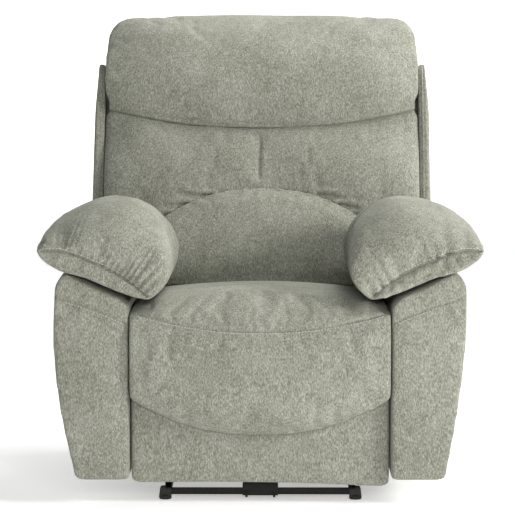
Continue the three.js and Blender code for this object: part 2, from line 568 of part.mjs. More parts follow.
function addBack() {
  const { x, width, front, rear, bottom, top } = POST;
  addPair("back_post", box(x, x + width, front, rear, bottom, top), lumber, back);
  const railX = x - CLEAR;
  add("back_top_rail", box(-railX, railX, front, rear, top - TOP_RAIL_HEIGHT, top), lumber, back);
  add("back_lower_rail", box(-railX, railX, front, rear, LOWER_RAIL.bottom, LOWER_RAIL.top), lumber, back);

  // The bracket turns on the seat plate's pin and is screwed to the post.
  const plate = rounded([
    [-17, -17, 14], [17, -17, 14], [17, 110, 8], [-17, 110, 8],
  ]);
  plate.holes.push(hole(0, 0));
  addPair("back_bracket", alongX(plate, INNER_LINK_X, INNER_LINK_X + STEEL), blackSteel, back);

  const wide = BACK_HALF_WIDTH - CLEAR;
  const skinLow = 10;
  const rearOutline = rounded([
    [-NARROW_HALF, skinLow, 8], [NARROW_HALF, skinLow, 8], [NARROW_HALF, WING_BOTTOM, 0], [wide, WING_BOTTOM, 0],
    [wide, REAR_TOP, 0], [-wide, REAR_TOP, 0], [-wide, WING_BOTTOM, 0], [-NARROW_HALF, WING_BOTTOM, 0],
  ]);
  add("back_rear_panel", alongY(rearOutline, BACK_THICKNESS - REAR_SKIN, BACK_THICKNESS), fabric, back);

  const wing = rounded([
    [WING_FRONT, WING_BOTTOM, 20], [BACK_THICKNESS, WING_BOTTOM, 12], [BACK_THICKNESS, WING_TOP, 20],
    [WING_FRONT, WING_TOP, 40],
  ]);
  addPair("back_wing", alongX(wing, BACK_HALF_WIDTH, BACK_HALF_WIDTH + WING_THICKNESS), fabric, back);

  const padBack = POST.front - CLEAR;
  const midTop = HEAD_SEAM - CLEAR;
  const midOutline = rounded([
    [-NARROW_HALF, MID_BOTTOM, 20], [NARROW_HALF, MID_BOTTOM, 20], [NARROW_HALF, WING_BOTTOM, 0],
    [wide, WING_BOTTOM, 20], [wide, midTop, 14], [-wide, midTop, 14], [-wide, WING_BOTTOM, 20],
    [-NARROW_HALF, WING_BOTTOM, 0],
  ]);
  add("mid_back_pad", alongY(midOutline, PAD_FRONT.mid, padBack), fabric, back);

  const arch = new THREE.Shape();
  const { half, bottom: low, top: crown } = LUMBAR;
  const spring = low + (crown - low) * 0.75; // where the arch's sides start to lean in
  arch.moveTo(-half, low);
  arch.lineTo(half, low);
  arch.bezierCurveTo(half, spring, half * 0.55, crown, 0, crown);
  arch.bezierCurveTo(-half * 0.55, crown, -half, spring, -half, low);
  add("lumbar_pad", alongY(arch, PAD_FRONT.lumbar, PAD_FRONT.mid - CLEAR), fabric, back);

  const headSide = rounded([
    [padBack, HEAD_SEAM], [PAD_FRONT.mid, HEAD_SEAM, 20], [PAD_FRONT.head, HEAD_SEAM + 50, 40],
    [PAD_FRONT.head, BACK_HEIGHT - 90, 60], [PAD_FRONT.head / 2, BACK_HEIGHT, 50],
    [BACK_THICKNESS - 20, BACK_HEIGHT, 50], [BACK_THICKNESS, BACK_HEIGHT - 60, 30],
    [BACK_THICKNESS, REAR_TOP + 1], [rear + 20, POST.top + 2], [padBack, POST.top + 2],
  ]);
  const headOutline = rounded([
    [-wide, HEAD_SEAM, 10], [wide, HEAD_SEAM, 10], [wide - 2, BACK_HEIGHT - 20, 90], [0, BACK_HEIGHT + 14, 500],
    [-wide + 2, BACK_HEIGHT - 20, 90],
  ]);
  add("head_pad", common(
    alongX(headSide, -wide, wide), alongY(headOutline, PAD_FRONT.head - 10, BACK_THICKNESS + 1)), fabric, back);
}
addBack();

// ---- Linear actuator: gearbox and motor at the front tube, a track to the rear, and a nut that pulls the crank ----
const TRACK = { halfWidth: 15, bottom: 96, top: 124, rearY: 60, wall: 3, slotHalf: 6, screwR: 4 };
const GEARBOX = { half: 26, frontY: TUBE.frontY + 8, rearY: -306, bottom: 26, top: 132 };
const MOTOR = { r: 20, length: 96, z: 52 };
const STRAP = { half: 38, neckHalf: 22.5, bottom: 9, shoulder: 39, top: 58, lip: 4 }; // bracket round the front tube
const STRAP_BOLT = { x: 29.5, r: 2.8, length: 12 };
const NUT = { half: 24, cheek: 4, slotHalf: DRIVE_TUBE.pinR + 4 }; // the slot leaves the crank pin 4 each side

function addActuator() {
  const { half, neckHalf, bottom: low, shoulder, top: high, lip } = STRAP;
  const face = rounded([
    [-half, low], [half, low], [half, shoulder - 1, 6], [neckHalf, shoulder + 1, 2], [neckHalf, high, 4],
    [-neckHalf, high, 4], [-neckHalf, shoulder + 1, 2], [-half, shoulder - 1, 6],
  ]);
  const slot = TUBE.height / 2 + CLEAR;
  const strap = alongY(face, TUBE.frontY - slot - lip, GEARBOX.frontY);
  const tubeSpace = box(-half - 1, half + 1, TUBE.frontY - slot, TUBE.frontY + slot,
    0, TUBE.bottom + TUBE.height + CLEAR);
  const bolts = [-1, 1].map((side) => new THREE.CylinderGeometry(STRAP_BOLT.r, STRAP_BOLT.r, STRAP_BOLT.length, 10)
    .rotateX(Math.PI / 2)
    .translate(side * STRAP_BOLT.x, TUBE.frontY - slot - lip + 0.7, low + STRAP_BOLT.r - 0.3));
  add("actuator_bracket", join(cut(strap, tubeSpace), ...bolts), blackSteel);

  const block = rounded([
    [GEARBOX.frontY + CLEAR, GEARBOX.bottom, 6], [GEARBOX.rearY, GEARBOX.bottom, 6],
    [GEARBOX.rearY, GEARBOX.top, 8], [GEARBOX.frontY + CLEAR, GEARBOX.top, 14],
  ]);
  const can = new THREE.CylinderGeometry(MOTOR.r, MOTOR.r, MOTOR.length, 20)
    .translate(0, GEARBOX.rearY - 2 + MOTOR.length / 2, MOTOR.z);
  add("actuator_motor", join(alongX(block, -GEARBOX.half, GEARBOX.half), can), blackPlastic);

  const { halfWidth, bottom, top, rearY, wall, slotHalf, screwR } = TRACK;
  const inside = halfWidth - wall;
  const channel = polygon([
    [-halfWidth, bottom], [halfWidth, bottom], [halfWidth, top], [slotHalf, top], [slotHalf, top - wall],
    [inside, top - wall], [inside, bottom + wall], [-inside, bottom + wall], [-inside, top - wall],
    [-slotHalf, top - wall], [-slotHalf, top], [-halfWidth, top],
  ]);
  const screw = new THREE.CylinderGeometry(screwR, screwR, rearY - GEARBOX.rearY - 10, 12)
    .translate(0, (rearY + GEARBOX.rearY) / 2, (bottom + top) / 2 - 2);
  const endBlock = box(-halfWidth + 1, halfWidth - 1, rearY - 12, rearY - 1, bottom + 1, top - 4);
  add("actuator_track", join(alongY(channel, GEARBOX.rearY + CLEAR, rearY), endBlock, screw), springWire);

  // The nut rides on the track. Its two cheeks hold the crank pin in an upright slot.
  const { half: nutHalf, cheek: cheekWidth, slotHalf: pinSpace } = NUT;
  const slotBottom = REAR_LINK_PIVOT.z - DRIVE_TUBE.crankR - pinSpace;
  const slotTop = CRANK_END.z + pinSpace;
  const { y } = CRANK_END;
  const cheek = polygon([
    [y - nutHalf, bottom - 4], [y + nutHalf, bottom - 4], [y + nutHalf, slotTop + 7], [y - nutHalf, slotTop + 7],
  ]);
  cheek.holes.push(new THREE.Path([
    [y - pinSpace, slotBottom], [y - pinSpace, slotTop], [y + pinSpace, slotTop], [y + pinSpace, slotBottom],
  ].map(([a, b]) => new THREE.Vector2(a, b))));
  const side = halfWidth + 1;
  add("drive_nut", join(
    alongX(cheek, side, side + cheekWidth), alongX(cheek, -side - cheekWidth, -side),
    box(-side - 1, side + 1, y - nutHalf, y + nutHalf, bottom - 5, bottom - 1)), blackPlastic);
}
addActuator();

// ---- Switch on the outside of the sitter's right arm ----
function addSwitch() {
  const plate = ovalAt(SWITCH.y, SWITCH.z, SWITCH.halfLength, SWITCH.halfHeight);
  const body = alongX(plate, SWITCH_FACE_X, SWITCH_FACE_X + SWITCH.depth);
  const buttonAt = (sign) => SWITCH.y + sign * (BUTTON.halfLength + 3);
  const wells = [-1, 1].map((sign) => alongX(
    ovalAt(buttonAt(sign), SWITCH.z, BUTTON.halfLength + CLEAR, BUTTON.halfHeight + CLEAR),
    SWITCH_FACE_X - 1, SWITCH_FACE_X + BUTTON.depth + BUTTON.travel));
  add("switch_plate", cut(body, ...wells), blackPlastic);
  for (const [name, sign] of [["open_button", -1], ["close_button", 1]]) {
    add(name, alongX(
      ovalAt(buttonAt(sign), SWITCH.z, BUTTON.halfLength, BUTTON.halfHeight),
      SWITCH_FACE_X - BUTTON.proud, SWITCH_FACE_X + BUTTON.depth - CLEAR), rubber);
  }
}
addSwitch();

export default chair;
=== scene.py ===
"""Power recliner armchair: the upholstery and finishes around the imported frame, on a pale studio floor."""
import json
from math import pi, radians

import bmesh
import bpy
import numpy as np
from mathutils import Matrix, Vector
from mathutils.bvhtree import BVHTree


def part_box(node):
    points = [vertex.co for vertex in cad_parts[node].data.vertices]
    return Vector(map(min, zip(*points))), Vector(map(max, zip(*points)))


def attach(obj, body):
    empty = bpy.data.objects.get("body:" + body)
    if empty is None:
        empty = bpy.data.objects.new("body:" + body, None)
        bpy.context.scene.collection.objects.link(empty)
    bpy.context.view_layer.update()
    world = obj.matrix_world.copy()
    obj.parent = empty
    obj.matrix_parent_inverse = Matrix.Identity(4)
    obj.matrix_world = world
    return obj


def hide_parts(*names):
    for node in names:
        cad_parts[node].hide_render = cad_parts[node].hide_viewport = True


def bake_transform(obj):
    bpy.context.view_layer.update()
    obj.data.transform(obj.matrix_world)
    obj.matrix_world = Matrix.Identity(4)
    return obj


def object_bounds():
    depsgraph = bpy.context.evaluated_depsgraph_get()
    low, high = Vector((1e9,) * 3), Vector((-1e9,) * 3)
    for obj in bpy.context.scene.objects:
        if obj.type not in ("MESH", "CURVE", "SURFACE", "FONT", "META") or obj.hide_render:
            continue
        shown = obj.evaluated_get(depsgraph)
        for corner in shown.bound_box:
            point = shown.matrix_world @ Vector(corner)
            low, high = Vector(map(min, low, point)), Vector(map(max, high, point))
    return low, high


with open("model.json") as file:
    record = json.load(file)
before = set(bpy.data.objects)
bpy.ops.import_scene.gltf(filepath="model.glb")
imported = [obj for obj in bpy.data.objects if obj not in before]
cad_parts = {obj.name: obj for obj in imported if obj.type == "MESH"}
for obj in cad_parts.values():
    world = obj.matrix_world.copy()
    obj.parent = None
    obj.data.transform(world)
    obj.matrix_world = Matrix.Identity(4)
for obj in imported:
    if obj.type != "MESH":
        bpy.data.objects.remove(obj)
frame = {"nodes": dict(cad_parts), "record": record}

# ---- Camera, lights and floor ----
# A long lens in front of the chair, a little above the seat and tipped down towards it. A broad soft
# light stands to the right, weaker ones stand in front and above, and the floor and background are off-white.
cad_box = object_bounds()
PHOTO_WIDTH = 515
FOCAL_PIXELS = 2418
SENSOR = 36
CAMERA_AT = Vector((0.03, -5.468, 0.95))
CAMERA_TIP = radians(4.84)
CAMERA_TURN = radians(0.404)

lens = bpy.data.cameras.new("camera")
lens.sensor_width = SENSOR
lens.lens = SENSOR * FOCAL_PIXELS / PHOTO_WIDTH
camera = bpy.data.objects.new("camera", lens)
camera.location = CAMERA_AT
camera.rotation_euler = (pi / 2 - CAMERA_TIP, 0, CAMERA_TURN)
bpy.context.collection.objects.link(camera)
bpy.context.scene.camera = camera
bpy.context.scene.view_settings.view_transform = "Standard"


def softbox(name, at, towards, size, watts):
    light = bpy.data.lights.new(name, "AREA")
    light.shape = "RECTANGLE"
    light.size, light.size_y = size
    light.energy = watts
    lamp = bpy.data.objects.new(name, light)
    lamp.location = at
    lamp.rotation_euler = (Vector(towards) - Vector(at)).to_track_quat("-Z", "Y").to_euler()
    bpy.context.collection.objects.link(lamp)


CHAIR_MIDDLE = (0, -0.1, 0.5)
softbox("key", (3.8, -2.0, 1.9), CHAIR_MIDDLE, (1.1, 1.1), 158)
softbox("front_fill", (0.5, -5.2, 1.6), CHAIR_MIDDLE, (2.4, 0.8), 88)
softbox("top", (1.0, 0.5, 3.1), CHAIR_MIDDLE, (1.6, 1.4), 84)

world = bpy.data.worlds.new("studio")
world.use_nodes = True
world.node_tree.nodes["Background"].inputs["Color"].default_value = (1, 1, 1, 1)
world.node_tree.nodes["Background"].inputs["Strength"].default_value = 0.13
bpy.context.scene.world = world

STAGE_HALF = 14
WALL_Y = 12


def stage_sheet(name, place):
    shape = bmesh.new()
    bmesh.ops.create_grid(shape, x_segments=1, y_segments=1, size=STAGE_HALF, matrix=place)
    mesh = bpy.data.meshes.new(name)
    shape.to_mesh(mesh)
    shape.free()
    sheet = bpy.data.objects.new(name, mesh)
    bpy.context.collection.objects.link(sheet)
    return sheet


floor = stage_sheet("floor", Matrix.Identity(4))
wall = stage_sheet("backdrop", Matrix.Translation((0, WALL_Y, 0)) @ Matrix.Rotation(pi / 2, 4, "X"))


# ---- Upholstery fabric ----
# A soft woven chenille in grey sage: short vertical slubs of random tone, with painted shade in the
# hollows between the yarns and a painted highlight where the pile is brushed up, a light sheen and broad, faint patches
# where the nap lies differently.
class Term:
    """An output in a material. Sums and products of terms add the Math nodes they need."""

    def __init__(self, socket):
        self.socket = socket

    def maths(self, operation, other, swapped=False):
        node = self.socket.id_data.nodes.new("ShaderNodeMath")
        node.operation = operation
        feed(node.inputs[0], other if swapped else self)
        feed(node.inputs[1], self if swapped else other)
        return Term(node.outputs[0])

    def __add__(self, other):
        return self.maths("ADD", other)

    def __sub__(self, other):
        return self.maths("SUBTRACT", other)

    def __rsub__(self, other):
        return self.maths("SUBTRACT", other, swapped=True)

    def __mul__(self, other):
        return self.maths("MULTIPLY", other)

    def __gt__(self, other):
        return self.maths("GREATER_THAN", other)

    __radd__ = __add__
    __rmul__ = __mul__


def feed(socket, value):
    if isinstance(value, Term):
        socket.id_data.links.new(value.socket, socket)
    else:
        socket.default_value = value


class Finish:
    """A material that is put together node by node."""

    def __init__(self, name):
        self.material = bpy.data.materials.new(name)
        self.material.use_nodes = True
        self.tree = self.material.node_tree
        self.shader = self.tree.nodes["Principled BSDF"]

    def node(self, kind, settings=(), out=0, **values):
        made = self.tree.nodes.new("ShaderNode" + kind)
        for key, value in dict(settings).items():
            setattr(made, key, value)
        for key, value in values.items():
            feed(made.inputs[key.replace("_", " ")], value)
        return Term(made.outputs[out])

    def place(self, scale, turn=(0, 0, 0)):
        """Object coordinates in metres, turned and then stretched."""
        here = self.node("TexCoord", out="Object")
        return self.node("Mapping", Vector=here, Scale=scale, Rotation=turn)

    def noise(self, scale, detail=2.0, roughness=0.5, turn=(0, 0, 0)):
        return self.node("TexNoise", Vector=self.place(scale, turn), Scale=1.0, Detail=detail, Roughness=roughness)

    def colours(self, factor, *stops):
        """A ramp from (place, colour) stops."""
        made = self.tree.nodes.new("ShaderNodeValToRGB")
        ramp = made.color_ramp
        while len(ramp.elements) < len(stops):
            ramp.elements.new(0.5)
        for element, (place, colour) in zip(ramp.elements, stops):
            element.position = place
            element.color = (*colour, 1)
        feed(made.inputs[0], factor)
        return Term(made.outputs[0])

    def set(self, **values):
        for key, value in values.items():
            feed(self.shader.inputs[key.replace("_", " ")], value)
        return self

    def bump(self, height, distance, strength=1.0):
        relief = self.node("Bump", Height=height, Distance=distance, Strength=strength)
        return self.set(Normal=relief)


# YARN_SHADE and YARN_LIT are painted shade and painted light: darker, more olive and paler copies of YARN.
YARN = (0.243, 0.246, 0.200)
YARN_SHADE = (0.120, 0.122, 0.092)
YARN_LIT = (0.405, 0.410, 0.358)
SLUB = (420, 420, 170)  # slubs per metre: narrow across, longer down
PILE = (900, 900, 600)
NAP = (70, 70, 45)
DRIFT = (12, 12, 8)


def chenille():
    cloth = Finish("sage_chenille")
    slubs = cloth.noise(SLUB, detail=3.0, roughness=0.65)
    pile = cloth.noise(PILE, detail=2.0)
    nap = cloth.noise(NAP, detail=4.0, roughness=0.6)
    drift = cloth.noise(DRIFT, detail=2.0)
    tone = slubs * 0.56 + pile * 0.22 + nap * 0.12 + drift * 0.10
    cloth.set(
        # The ramp follows the bump's noise. Over random tone, it paints shade where the yarns sink and a highlight
        # where they stand up.
        Base_Color=cloth.colours(tone, (0.38, YARN_SHADE), (0.50, YARN), (0.62, YARN_LIT)),
        Roughness=0.95, Sheen_Weight=0.12, Sheen_Roughness=0.4, Sheen_Tint=(0.9, 0.92, 0.84, 1),
        Specular_IOR_Level=0.15)
    return cloth.bump(slubs * 0.6 + pile * 0.4, distance=0.0009, strength=0.9).material


fabric = chenille()

for sheet, glow in ((floor, 0.45), (wall, 0.95)):
    paper = Finish(sheet.name + "_paper")
    paper.set(Base_Color=(0.95, 0.95, 0.95, 1), Roughness=0.9, Emission_Color=(1, 1, 1, 1), Emission_Strength=glow)
    sheet.data.materials.append(paper.material)


# ---- Seat cushion and chaise pad ----
# One cover runs from the back of the seat over the front roll and down over the footrest, where it
# ends in a thick D-shaped edge. A top-stitched seam curves across just below the roll.
def new_piece(name, shape, finish, body=None):
    mesh = bpy.data.meshes.new(name)
    shape.to_mesh(mesh)
    shape.free()
    piece = bpy.data.objects.new(name, mesh)
    bpy.context.collection.objects.link(piece)
    mesh.materials.append(finish)
    mesh.polygons.foreach_set("use_smooth", [True] * len(mesh.polygons))
    if body:
        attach(piece, body)
    return piece


def outline(points, arc=6):
    """Corners (a, b, radius) joined by straight lines, with each corner rounded."""
    line = []
    for i, corner in enumerate(points):
        here, radius = Vector(corner[:2]), corner[2] if len(corner) > 2 else 0
        before = Vector(points[i - 1][:2]) - here
        after = Vector(points[(i + 1) % len(points)][:2]) - here
        radius = min(radius, before.length / 2, after.length / 2)
        if radius == 0:
            line.append(here)
            continue
        start, end = here + before.normalized() * radius, here + after.normalized() * radius
        for k in range(arc + 1):
            t = k / arc
            line.append(start * (1 - t) ** 2 + here * (2 * t * (1 - t)) + end * t ** 2)
    return line


def prism(line, low, high, axis):
    """A flat outline run along one axis. The outline's two numbers are the other two axes, in order."""
    shape = bmesh.new()
    others = [k for k in range(3) if k != axis]
    corners = []
    for a, b in line:
        at = Vector((0, 0, 0))
        at[axis], at[others[0]], at[others[1]] = low, a, b
        corners.append(shape.verts.new(at))
    face = shape.faces.new(corners)
    made = bmesh.ops.extrude_face_region(shape, geom=[face])["geom"]
    run = Vector((0, 0, 0))
    run[axis] = high - low
    bmesh.ops.translate(shape, vec=run, verts=[g for g in made if isinstance(g, bmesh.types.BMVert)])
    bmesh.ops.recalc_face_normals(shape, faces=shape.faces)
    return shape


def finished(piece, kind, **settings):
    """Adds a modifier to the piece and makes its result the mesh."""
    modifier = piece.modifiers.new(kind, kind)
    for key, value in settings.items():
        setattr(modifier, key, value)
    graph = bpy.context.evaluated_depsgraph_get()
    mesh = bpy.data.meshes.new_from_object(piece.evaluated_get(graph), depsgraph=graph)
    piece.modifiers.clear()
    old, piece.data = piece.data, mesh
    bpy.data.meshes.remove(old)
    mesh.polygons.foreach_set("use_smooth", [True] * len(mesh.polygons))
    return piece


def meet(piece, shape, operation="INTERSECT"):
    """Keeps what the piece and the shape have in common, or cuts the shape away."""
    other = new_piece("other", shape, fabric)
    finished(piece, "BOOLEAN", operation=operation, object=other, solver="EXACT")
    bpy.data.objects.remove(other)


def points_of(piece):
    found = np.empty(len(piece.data.vertices) * 3)
    piece.data.vertices.foreach_get("co", found)
    return found.reshape(-1, 3)


def normals_of(piece):
    found = np.empty(len(piece.data.vertices) * 3)
    piece.data.vertices.foreach_get("normal", found)
    return found.reshape(-1, 3)


def move_to(piece, points):
    piece.data.vertices.foreach_set("co", points.ravel())
    piece.data.update()


def upholster(piece, voxel=0.007, soften=10):
    """An even net of small faces over the rough shape, with every edge softened."""
    finished(piece, "REMESH", mode="VOXEL", voxel_size=voxel, use_smooth_shade=True)
    finished(piece, "SMOOTH", factor=0.5, iterations=soften)


def stuff(piece, sewn, cap=0.024, pressure=4.0, slack=0.02):
    """Fills the cover: it swells by cloth simulation wherever it isn't sewn down."""
    start = points_of(piece)
    group = piece.vertex_groups.new(name="sewn")
    weights = np.clip(sewn, 0, 1)
    for level in range(1, 11):
        chosen = np.flatnonzero(np.round(weights * 10) == level)
        if len(chosen):
            group.add(chosen.tolist(), level / 10, "REPLACE")
    cover = piece.modifiers.new("cover", "CLOTH")
    cover.settings.quality = 5
    cover.settings.mass = 0.25
    cover.settings.tension_stiffness = cover.settings.compression_stiffness = 18
    cover.settings.bending_stiffness = 0.6
    cover.settings.use_pressure = True
    cover.settings.uniform_pressure_force = pressure
    cover.settings.shrink_min = -slack
    cover.settings.vertex_group_mass = "sewn"
    cover.settings.effector_weights.gravity = 0
    cover.collision_settings.use_collision = False
    cover.point_cache.frame_end = 20
    for step in range(1, 21):
        bpy.context.scene.frame_set(step)
    graph = bpy.context.evaluated_depsgraph_get()
    swollen = piece.evaluated_get(graph).to_mesh()
    end = np.empty(len(swollen.vertices) * 3)
    swollen.vertices.foreach_get("co", end)
    piece.evaluated_get(graph).to_mesh_clear()
    piece.modifiers.clear()
    piece.vertex_groups.clear()
    move = end.reshape(-1, 3) - start
    length = np.linalg.norm(move, axis=1, keepdims=True)
    move_to(piece, start + move * np.minimum(1, cap / np.maximum(length, 1e-9)))
    bpy.context.scene.frame_set(1)


def subdivide(piece, levels=1):
    finished(piece, "SUBSURF", levels=levels, render_levels=levels)


def fit_width(piece, half):
    """Stretches a piece that is centred on the chair until it is as wide as it should be."""
    at = points_of(piece)
    at[:, 0] *= half / np.abs(at[:, 0]).max()
    move_to(piece, at)


def near(distance, width):
    """1 on a line, falling smoothly to 0 a few widths away."""
    return np.exp(-(distance / width) ** 2)


def smooth_step(low, high, value):
    t = np.clip((value - low) / (high - low), 0, 1)
    return t * t * (3 - 2 * t)


def polyline_distance(points, line):
    """Distance from each point to a polyline, and how far along it the nearest place is."""
    line = np.array(line, float)
    best = np.full(len(points), 1e9)
    along = np.zeros(len(points))
    run = 0.0
    for a, b in zip(line[:-1], line[1:]):
        ab = b - a
        size = np.linalg.norm(ab)
        t = np.clip((points - a) @ ab / size ** 2, 0, 1)
        d = np.linalg.norm(points - (a + t[:, None] * ab), axis=1)
        closer = d < best
        best = np.where(closer, d, best)
        along = np.where(closer, run + t * size, along)
        run += size
    return best, along


def dent(piece, amount):
    """Pushes each point in along its normal by its own amount."""
    move_to(piece, points_of(piece) - normals_of(piece) * amount[:, None])


SEAT_HALF = 0.2735
CROWN_FALL = 0.42  # how fast the crown drops towards the sides, per metre squared
CHAISE_LOW = 0.1465
CHAISE_RISE = 0.084
CHAISE_POWER = 2.3
SEAM_LOW = 0.372
SEAM_RISE = 0.040
SEAM_POWER = 2.1


def side_share(x, power):
    return np.minimum(np.abs(x) / SEAT_HALF, 1) ** power


def seam_height(x):
    return SEAM_LOW + SEAM_RISE * side_share(x, SEAM_POWER)


def make_seat():
    # The section through the middle, from the rear of the seat round to its underside.
    section = outline([
        (0.038, 0.318, 0.010), (0.036, 0.416, 0.020), (-0.03, 0.430, 0.040), (-0.25, 0.449, 0.100),
        (-0.375, 0.446, 0.080), (-0.445, 0.428, 0.060), (-0.4665, 0.360, 0.060), (-0.4665, 0.196, 0.040),
        (-0.460, CHAISE_LOW + 0.013, 0.014), (-0.447, CHAISE_LOW, 0.008),
        (-0.437, CHAISE_LOW + 0.003, 0.004), (-0.4335, 0.372, 0.010), (-0.412, 0.403, 0.010), (-0.390, 0.410, 0.010),
        (-0.300, 0.380, 0.020), (-0.200, 0.342, 0.020), (-0.140, 0.318, 0.010)])
    seat = new_piece("seat_and_chaise", prism(section, -SEAT_HALF + 0.006, SEAT_HALF - 0.006, 0), fabric)
    upholster(seat, voxel=0.0065, soften=8)
    at = points_of(seat)
    x, y, z = at.T
    # The D-shaped lower edge rises towards the sides, and the crown falls.
    lower = smooth_step(0.345, CHAISE_LOW, z) * smooth_step(-0.425, -0.432, y)
    z += lower * CHAISE_RISE * side_share(x, CHAISE_POWER)
    upper = smooth_step(0.395, 0.452, z)
    z -= upper * CROWN_FALL * np.minimum(np.abs(x), 0.225) ** 2
    shoulder = np.clip((np.abs(x) - 0.215) / (SEAT_HALF - 0.215), 0, 1)
    z -= upper * 0.020 * shoulder ** 2.2
    # The pad is fullest half way down the front.
    full = np.sin(np.clip((z - CHAISE_LOW) / (0.44 - CHAISE_LOW), 0, 1) * pi)
    front = smooth_step(-0.440, -0.462, y)
    y -= front * 0.005 * full * (1 - side_share(x, 4))
    move_to(seat, np.stack((x, y, z), 1))

    x, y, z = points_of(seat).T
    on_seam = near(z - seam_height(x), 0.010) * (y < -0.40)
    inside = (y > -0.445) & (z < 0.40) | (z < 0.345) & (y > -0.42) | (y > 0.0)
    sewn = np.maximum(on_seam, inside)
    sewn = np.maximum(sewn, near(np.abs(x) - SEAT_HALF, 0.03))
    stuff(seat, sewn, cap=0.007, pressure=2.5)
    fit_width(seat, SEAT_HALF)
    subdivide(seat)

    # The seam's groove, and the shallow pull marks in the fabric above and below it.
    x, y, z = points_of(seat).T
    facing = smooth_step(0.1, 0.6, -normals_of(seat)[:, 1])
    off_seam = z - seam_height(x)
    groove = 0.0034 * near(off_seam, 0.0026) + 0.0005 * near(off_seam, 0.010)
    pull = 0.0007 * near(off_seam - 0.012, 0.012) * np.sin(x * 2 * pi / 0.031 + 2 * np.sin(x * 23))
    slack = 0.0010 * np.sin(x * 19 + 5 * z) * np.sin(z * 31 + 4 * x)
    dent(seat, facing * (groove + pull + slack))
    # Two soft creases across the top, in front of the back.
    x, y, z = points_of(seat).T
    top = smooth_step(0.3, 0.8, normals_of(seat)[:, 2]) * (z > 0.4)
    across = 0.0022 * near(y + 0.335 - 0.5 * x ** 2, 0.010) * near(x - 0.11, 0.07)
    across += 0.0020 * near(y + 0.300 - 0.3 * x ** 2, 0.012) * near(x + 0.10, 0.08)
    dent(seat, top * across)
    return seat


THREAD_RADIUS = 0.0008
STITCH = 0.0046
STITCH_PITCH = 0.0068
STITCH_OFFSET = 0.0055  # how far from its seam a row of top stitching runs


def sewing_thread():
    thread = Finish("sewing_thread")
    twist = thread.noise((1500, 1500, 1500), detail=2.0)
    thread.set(Base_Color=thread.colours(twist, (0.3, (0.38, 0.385, 0.33)), (0.7, (0.54, 0.545, 0.49))),
               Roughness=0.6 + twist * 0.2)
    return thread.bump(twist, distance=0.0002, strength=0.5).material


thread_finish = sewing_thread()


def stitch_row(name, piece, line):
    """Stitches laid on the front of a finished piece, along a line of (x, z) points."""
    net = BVHTree.FromObject(piece, bpy.context.evaluated_depsgraph_get())
    line = np.array(line)
    run = np.concatenate(([0], np.cumsum(np.linalg.norm(np.diff(line, axis=0), axis=1))))
    rods = bmesh.new()
    for start in np.arange(STITCH, run[-1] - 2 * STITCH, STITCH_PITCH):
        ends = []
        for along in (start, start + STITCH):
            x, z = np.interp(along, run, line[:, 0]), np.interp(along, run, line[:, 1])
            hit, normal, _, _ = net.ray_cast(Vector((x, -1, z)), Vector((0, 1, 0)))
            ends.append(hit + normal * THREAD_RADIUS * 0.6)
        axis = ends[1] - ends[0]
        place = Matrix.Translation((ends[0] + ends[1]) / 2) @ axis.to_track_quat("Z", "Y").to_matrix().to_4x4()
        bmesh.ops.create_cone(rods, cap_ends=True, segments=6, radius1=THREAD_RADIUS, radius2=THREAD_RADIUS,
                              depth=axis.length, matrix=place)
    row = new_piece(name, rods, thread_finish)
    return row


seat = make_seat()
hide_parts("seat_cushion", "chaise_pad")
seat_row = stitch_row("seat_stitching", seat, [(x, seam_height(x) - STITCH_OFFSET) for x in np.linspace(-0.262, 0.262, 60)])
for piece in (seat, seat_row):
    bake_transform(piece)

# ---- Foam core under the seat cushion ----
# A firm wedge of foam in black lining cloth, glued to the seat's springs. It holds the cushion's nose
# up, and is seen from below when the footrest is out.
LINING = (0.018, 0.018, 0.018)


def lining():
    cloth = Finish("black_lining")
    weave = cloth.noise((900, 900, 900), detail=2.0)
    cloth.set(Base_Color=cloth.colours(weave, (0.35, (0.01, 0.01, 0.01)), (0.7, LINING)), Roughness=0.9)
    return cloth.bump(weave, distance=0.0006).material


lining_cloth = lining()


def make_core():
    section = outline([
        (-0.150, 0.3165, 0.002), (-0.195, 0.335, 0.010), (-0.300, 0.374, 0.010), (-0.384, 0.402, 0.012),
        (-0.402, 0.394, 0.008), (-0.382, 0.366, 0.010), (-0.381, 0.3165, 0.006)])
    core = new_piece("seat_core", prism(section, -SEAT_HALF + 0.008, SEAT_HALF - 0.008, 0), lining_cloth)
    finished(core, "BEVEL", width=0.004, segments=3, limit_method="ANGLE", angle_limit=radians(50))
    return core


core = make_core()
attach(core, "seat")

# ---- Lower footrest panel ----
# A thin padded panel on the footrest's board. Its corners hang a little lower than its middle.
PANEL_LOW, PANEL_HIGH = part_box("footrest_panel")
PANEL_HALF = SEAT_HALF - 0.0015


def make_panel():
    half = PANEL_HALF
    face = outline([
        (-half, PANEL_LOW.z, 0.010), (half, PANEL_LOW.z, 0.010), (half, PANEL_HIGH.z, 0.006),
        (-half, PANEL_HIGH.z, 0.006)])
    panel = new_piece("footrest_lower_panel", prism(face, PANEL_LOW.y + 0.002, PANEL_HIGH.y - 0.001, 1), fabric)
    upholster(panel, voxel=0.0075, soften=5)
    x, y, z = points_of(panel).T
    low = smooth_step(0.16, PANEL_LOW.z, z)
    z -= low * (0.0035 - 0.005 * (1 - (x / half) ** 2) + 0.004 * x / half)
    front = smooth_step(PANEL_HIGH.y - 0.008, PANEL_LOW.y + 0.004, y)
    y += front * (0.004 * (x / half) ** 12 - 0.0025 * np.sin(np.clip((z - 0.05) / 0.2, 0, 1) * pi))
    y += front * 0.0012 * np.sin(x * 17 + z * 9) * np.sin(z * 28)
    move_to(panel, np.stack((x, y, z), 1))
    fit_width(panel, PANEL_HALF)
    subdivide(panel)
    return panel


panel = make_panel()
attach(panel, "footrest")
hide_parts("footrest_panel")

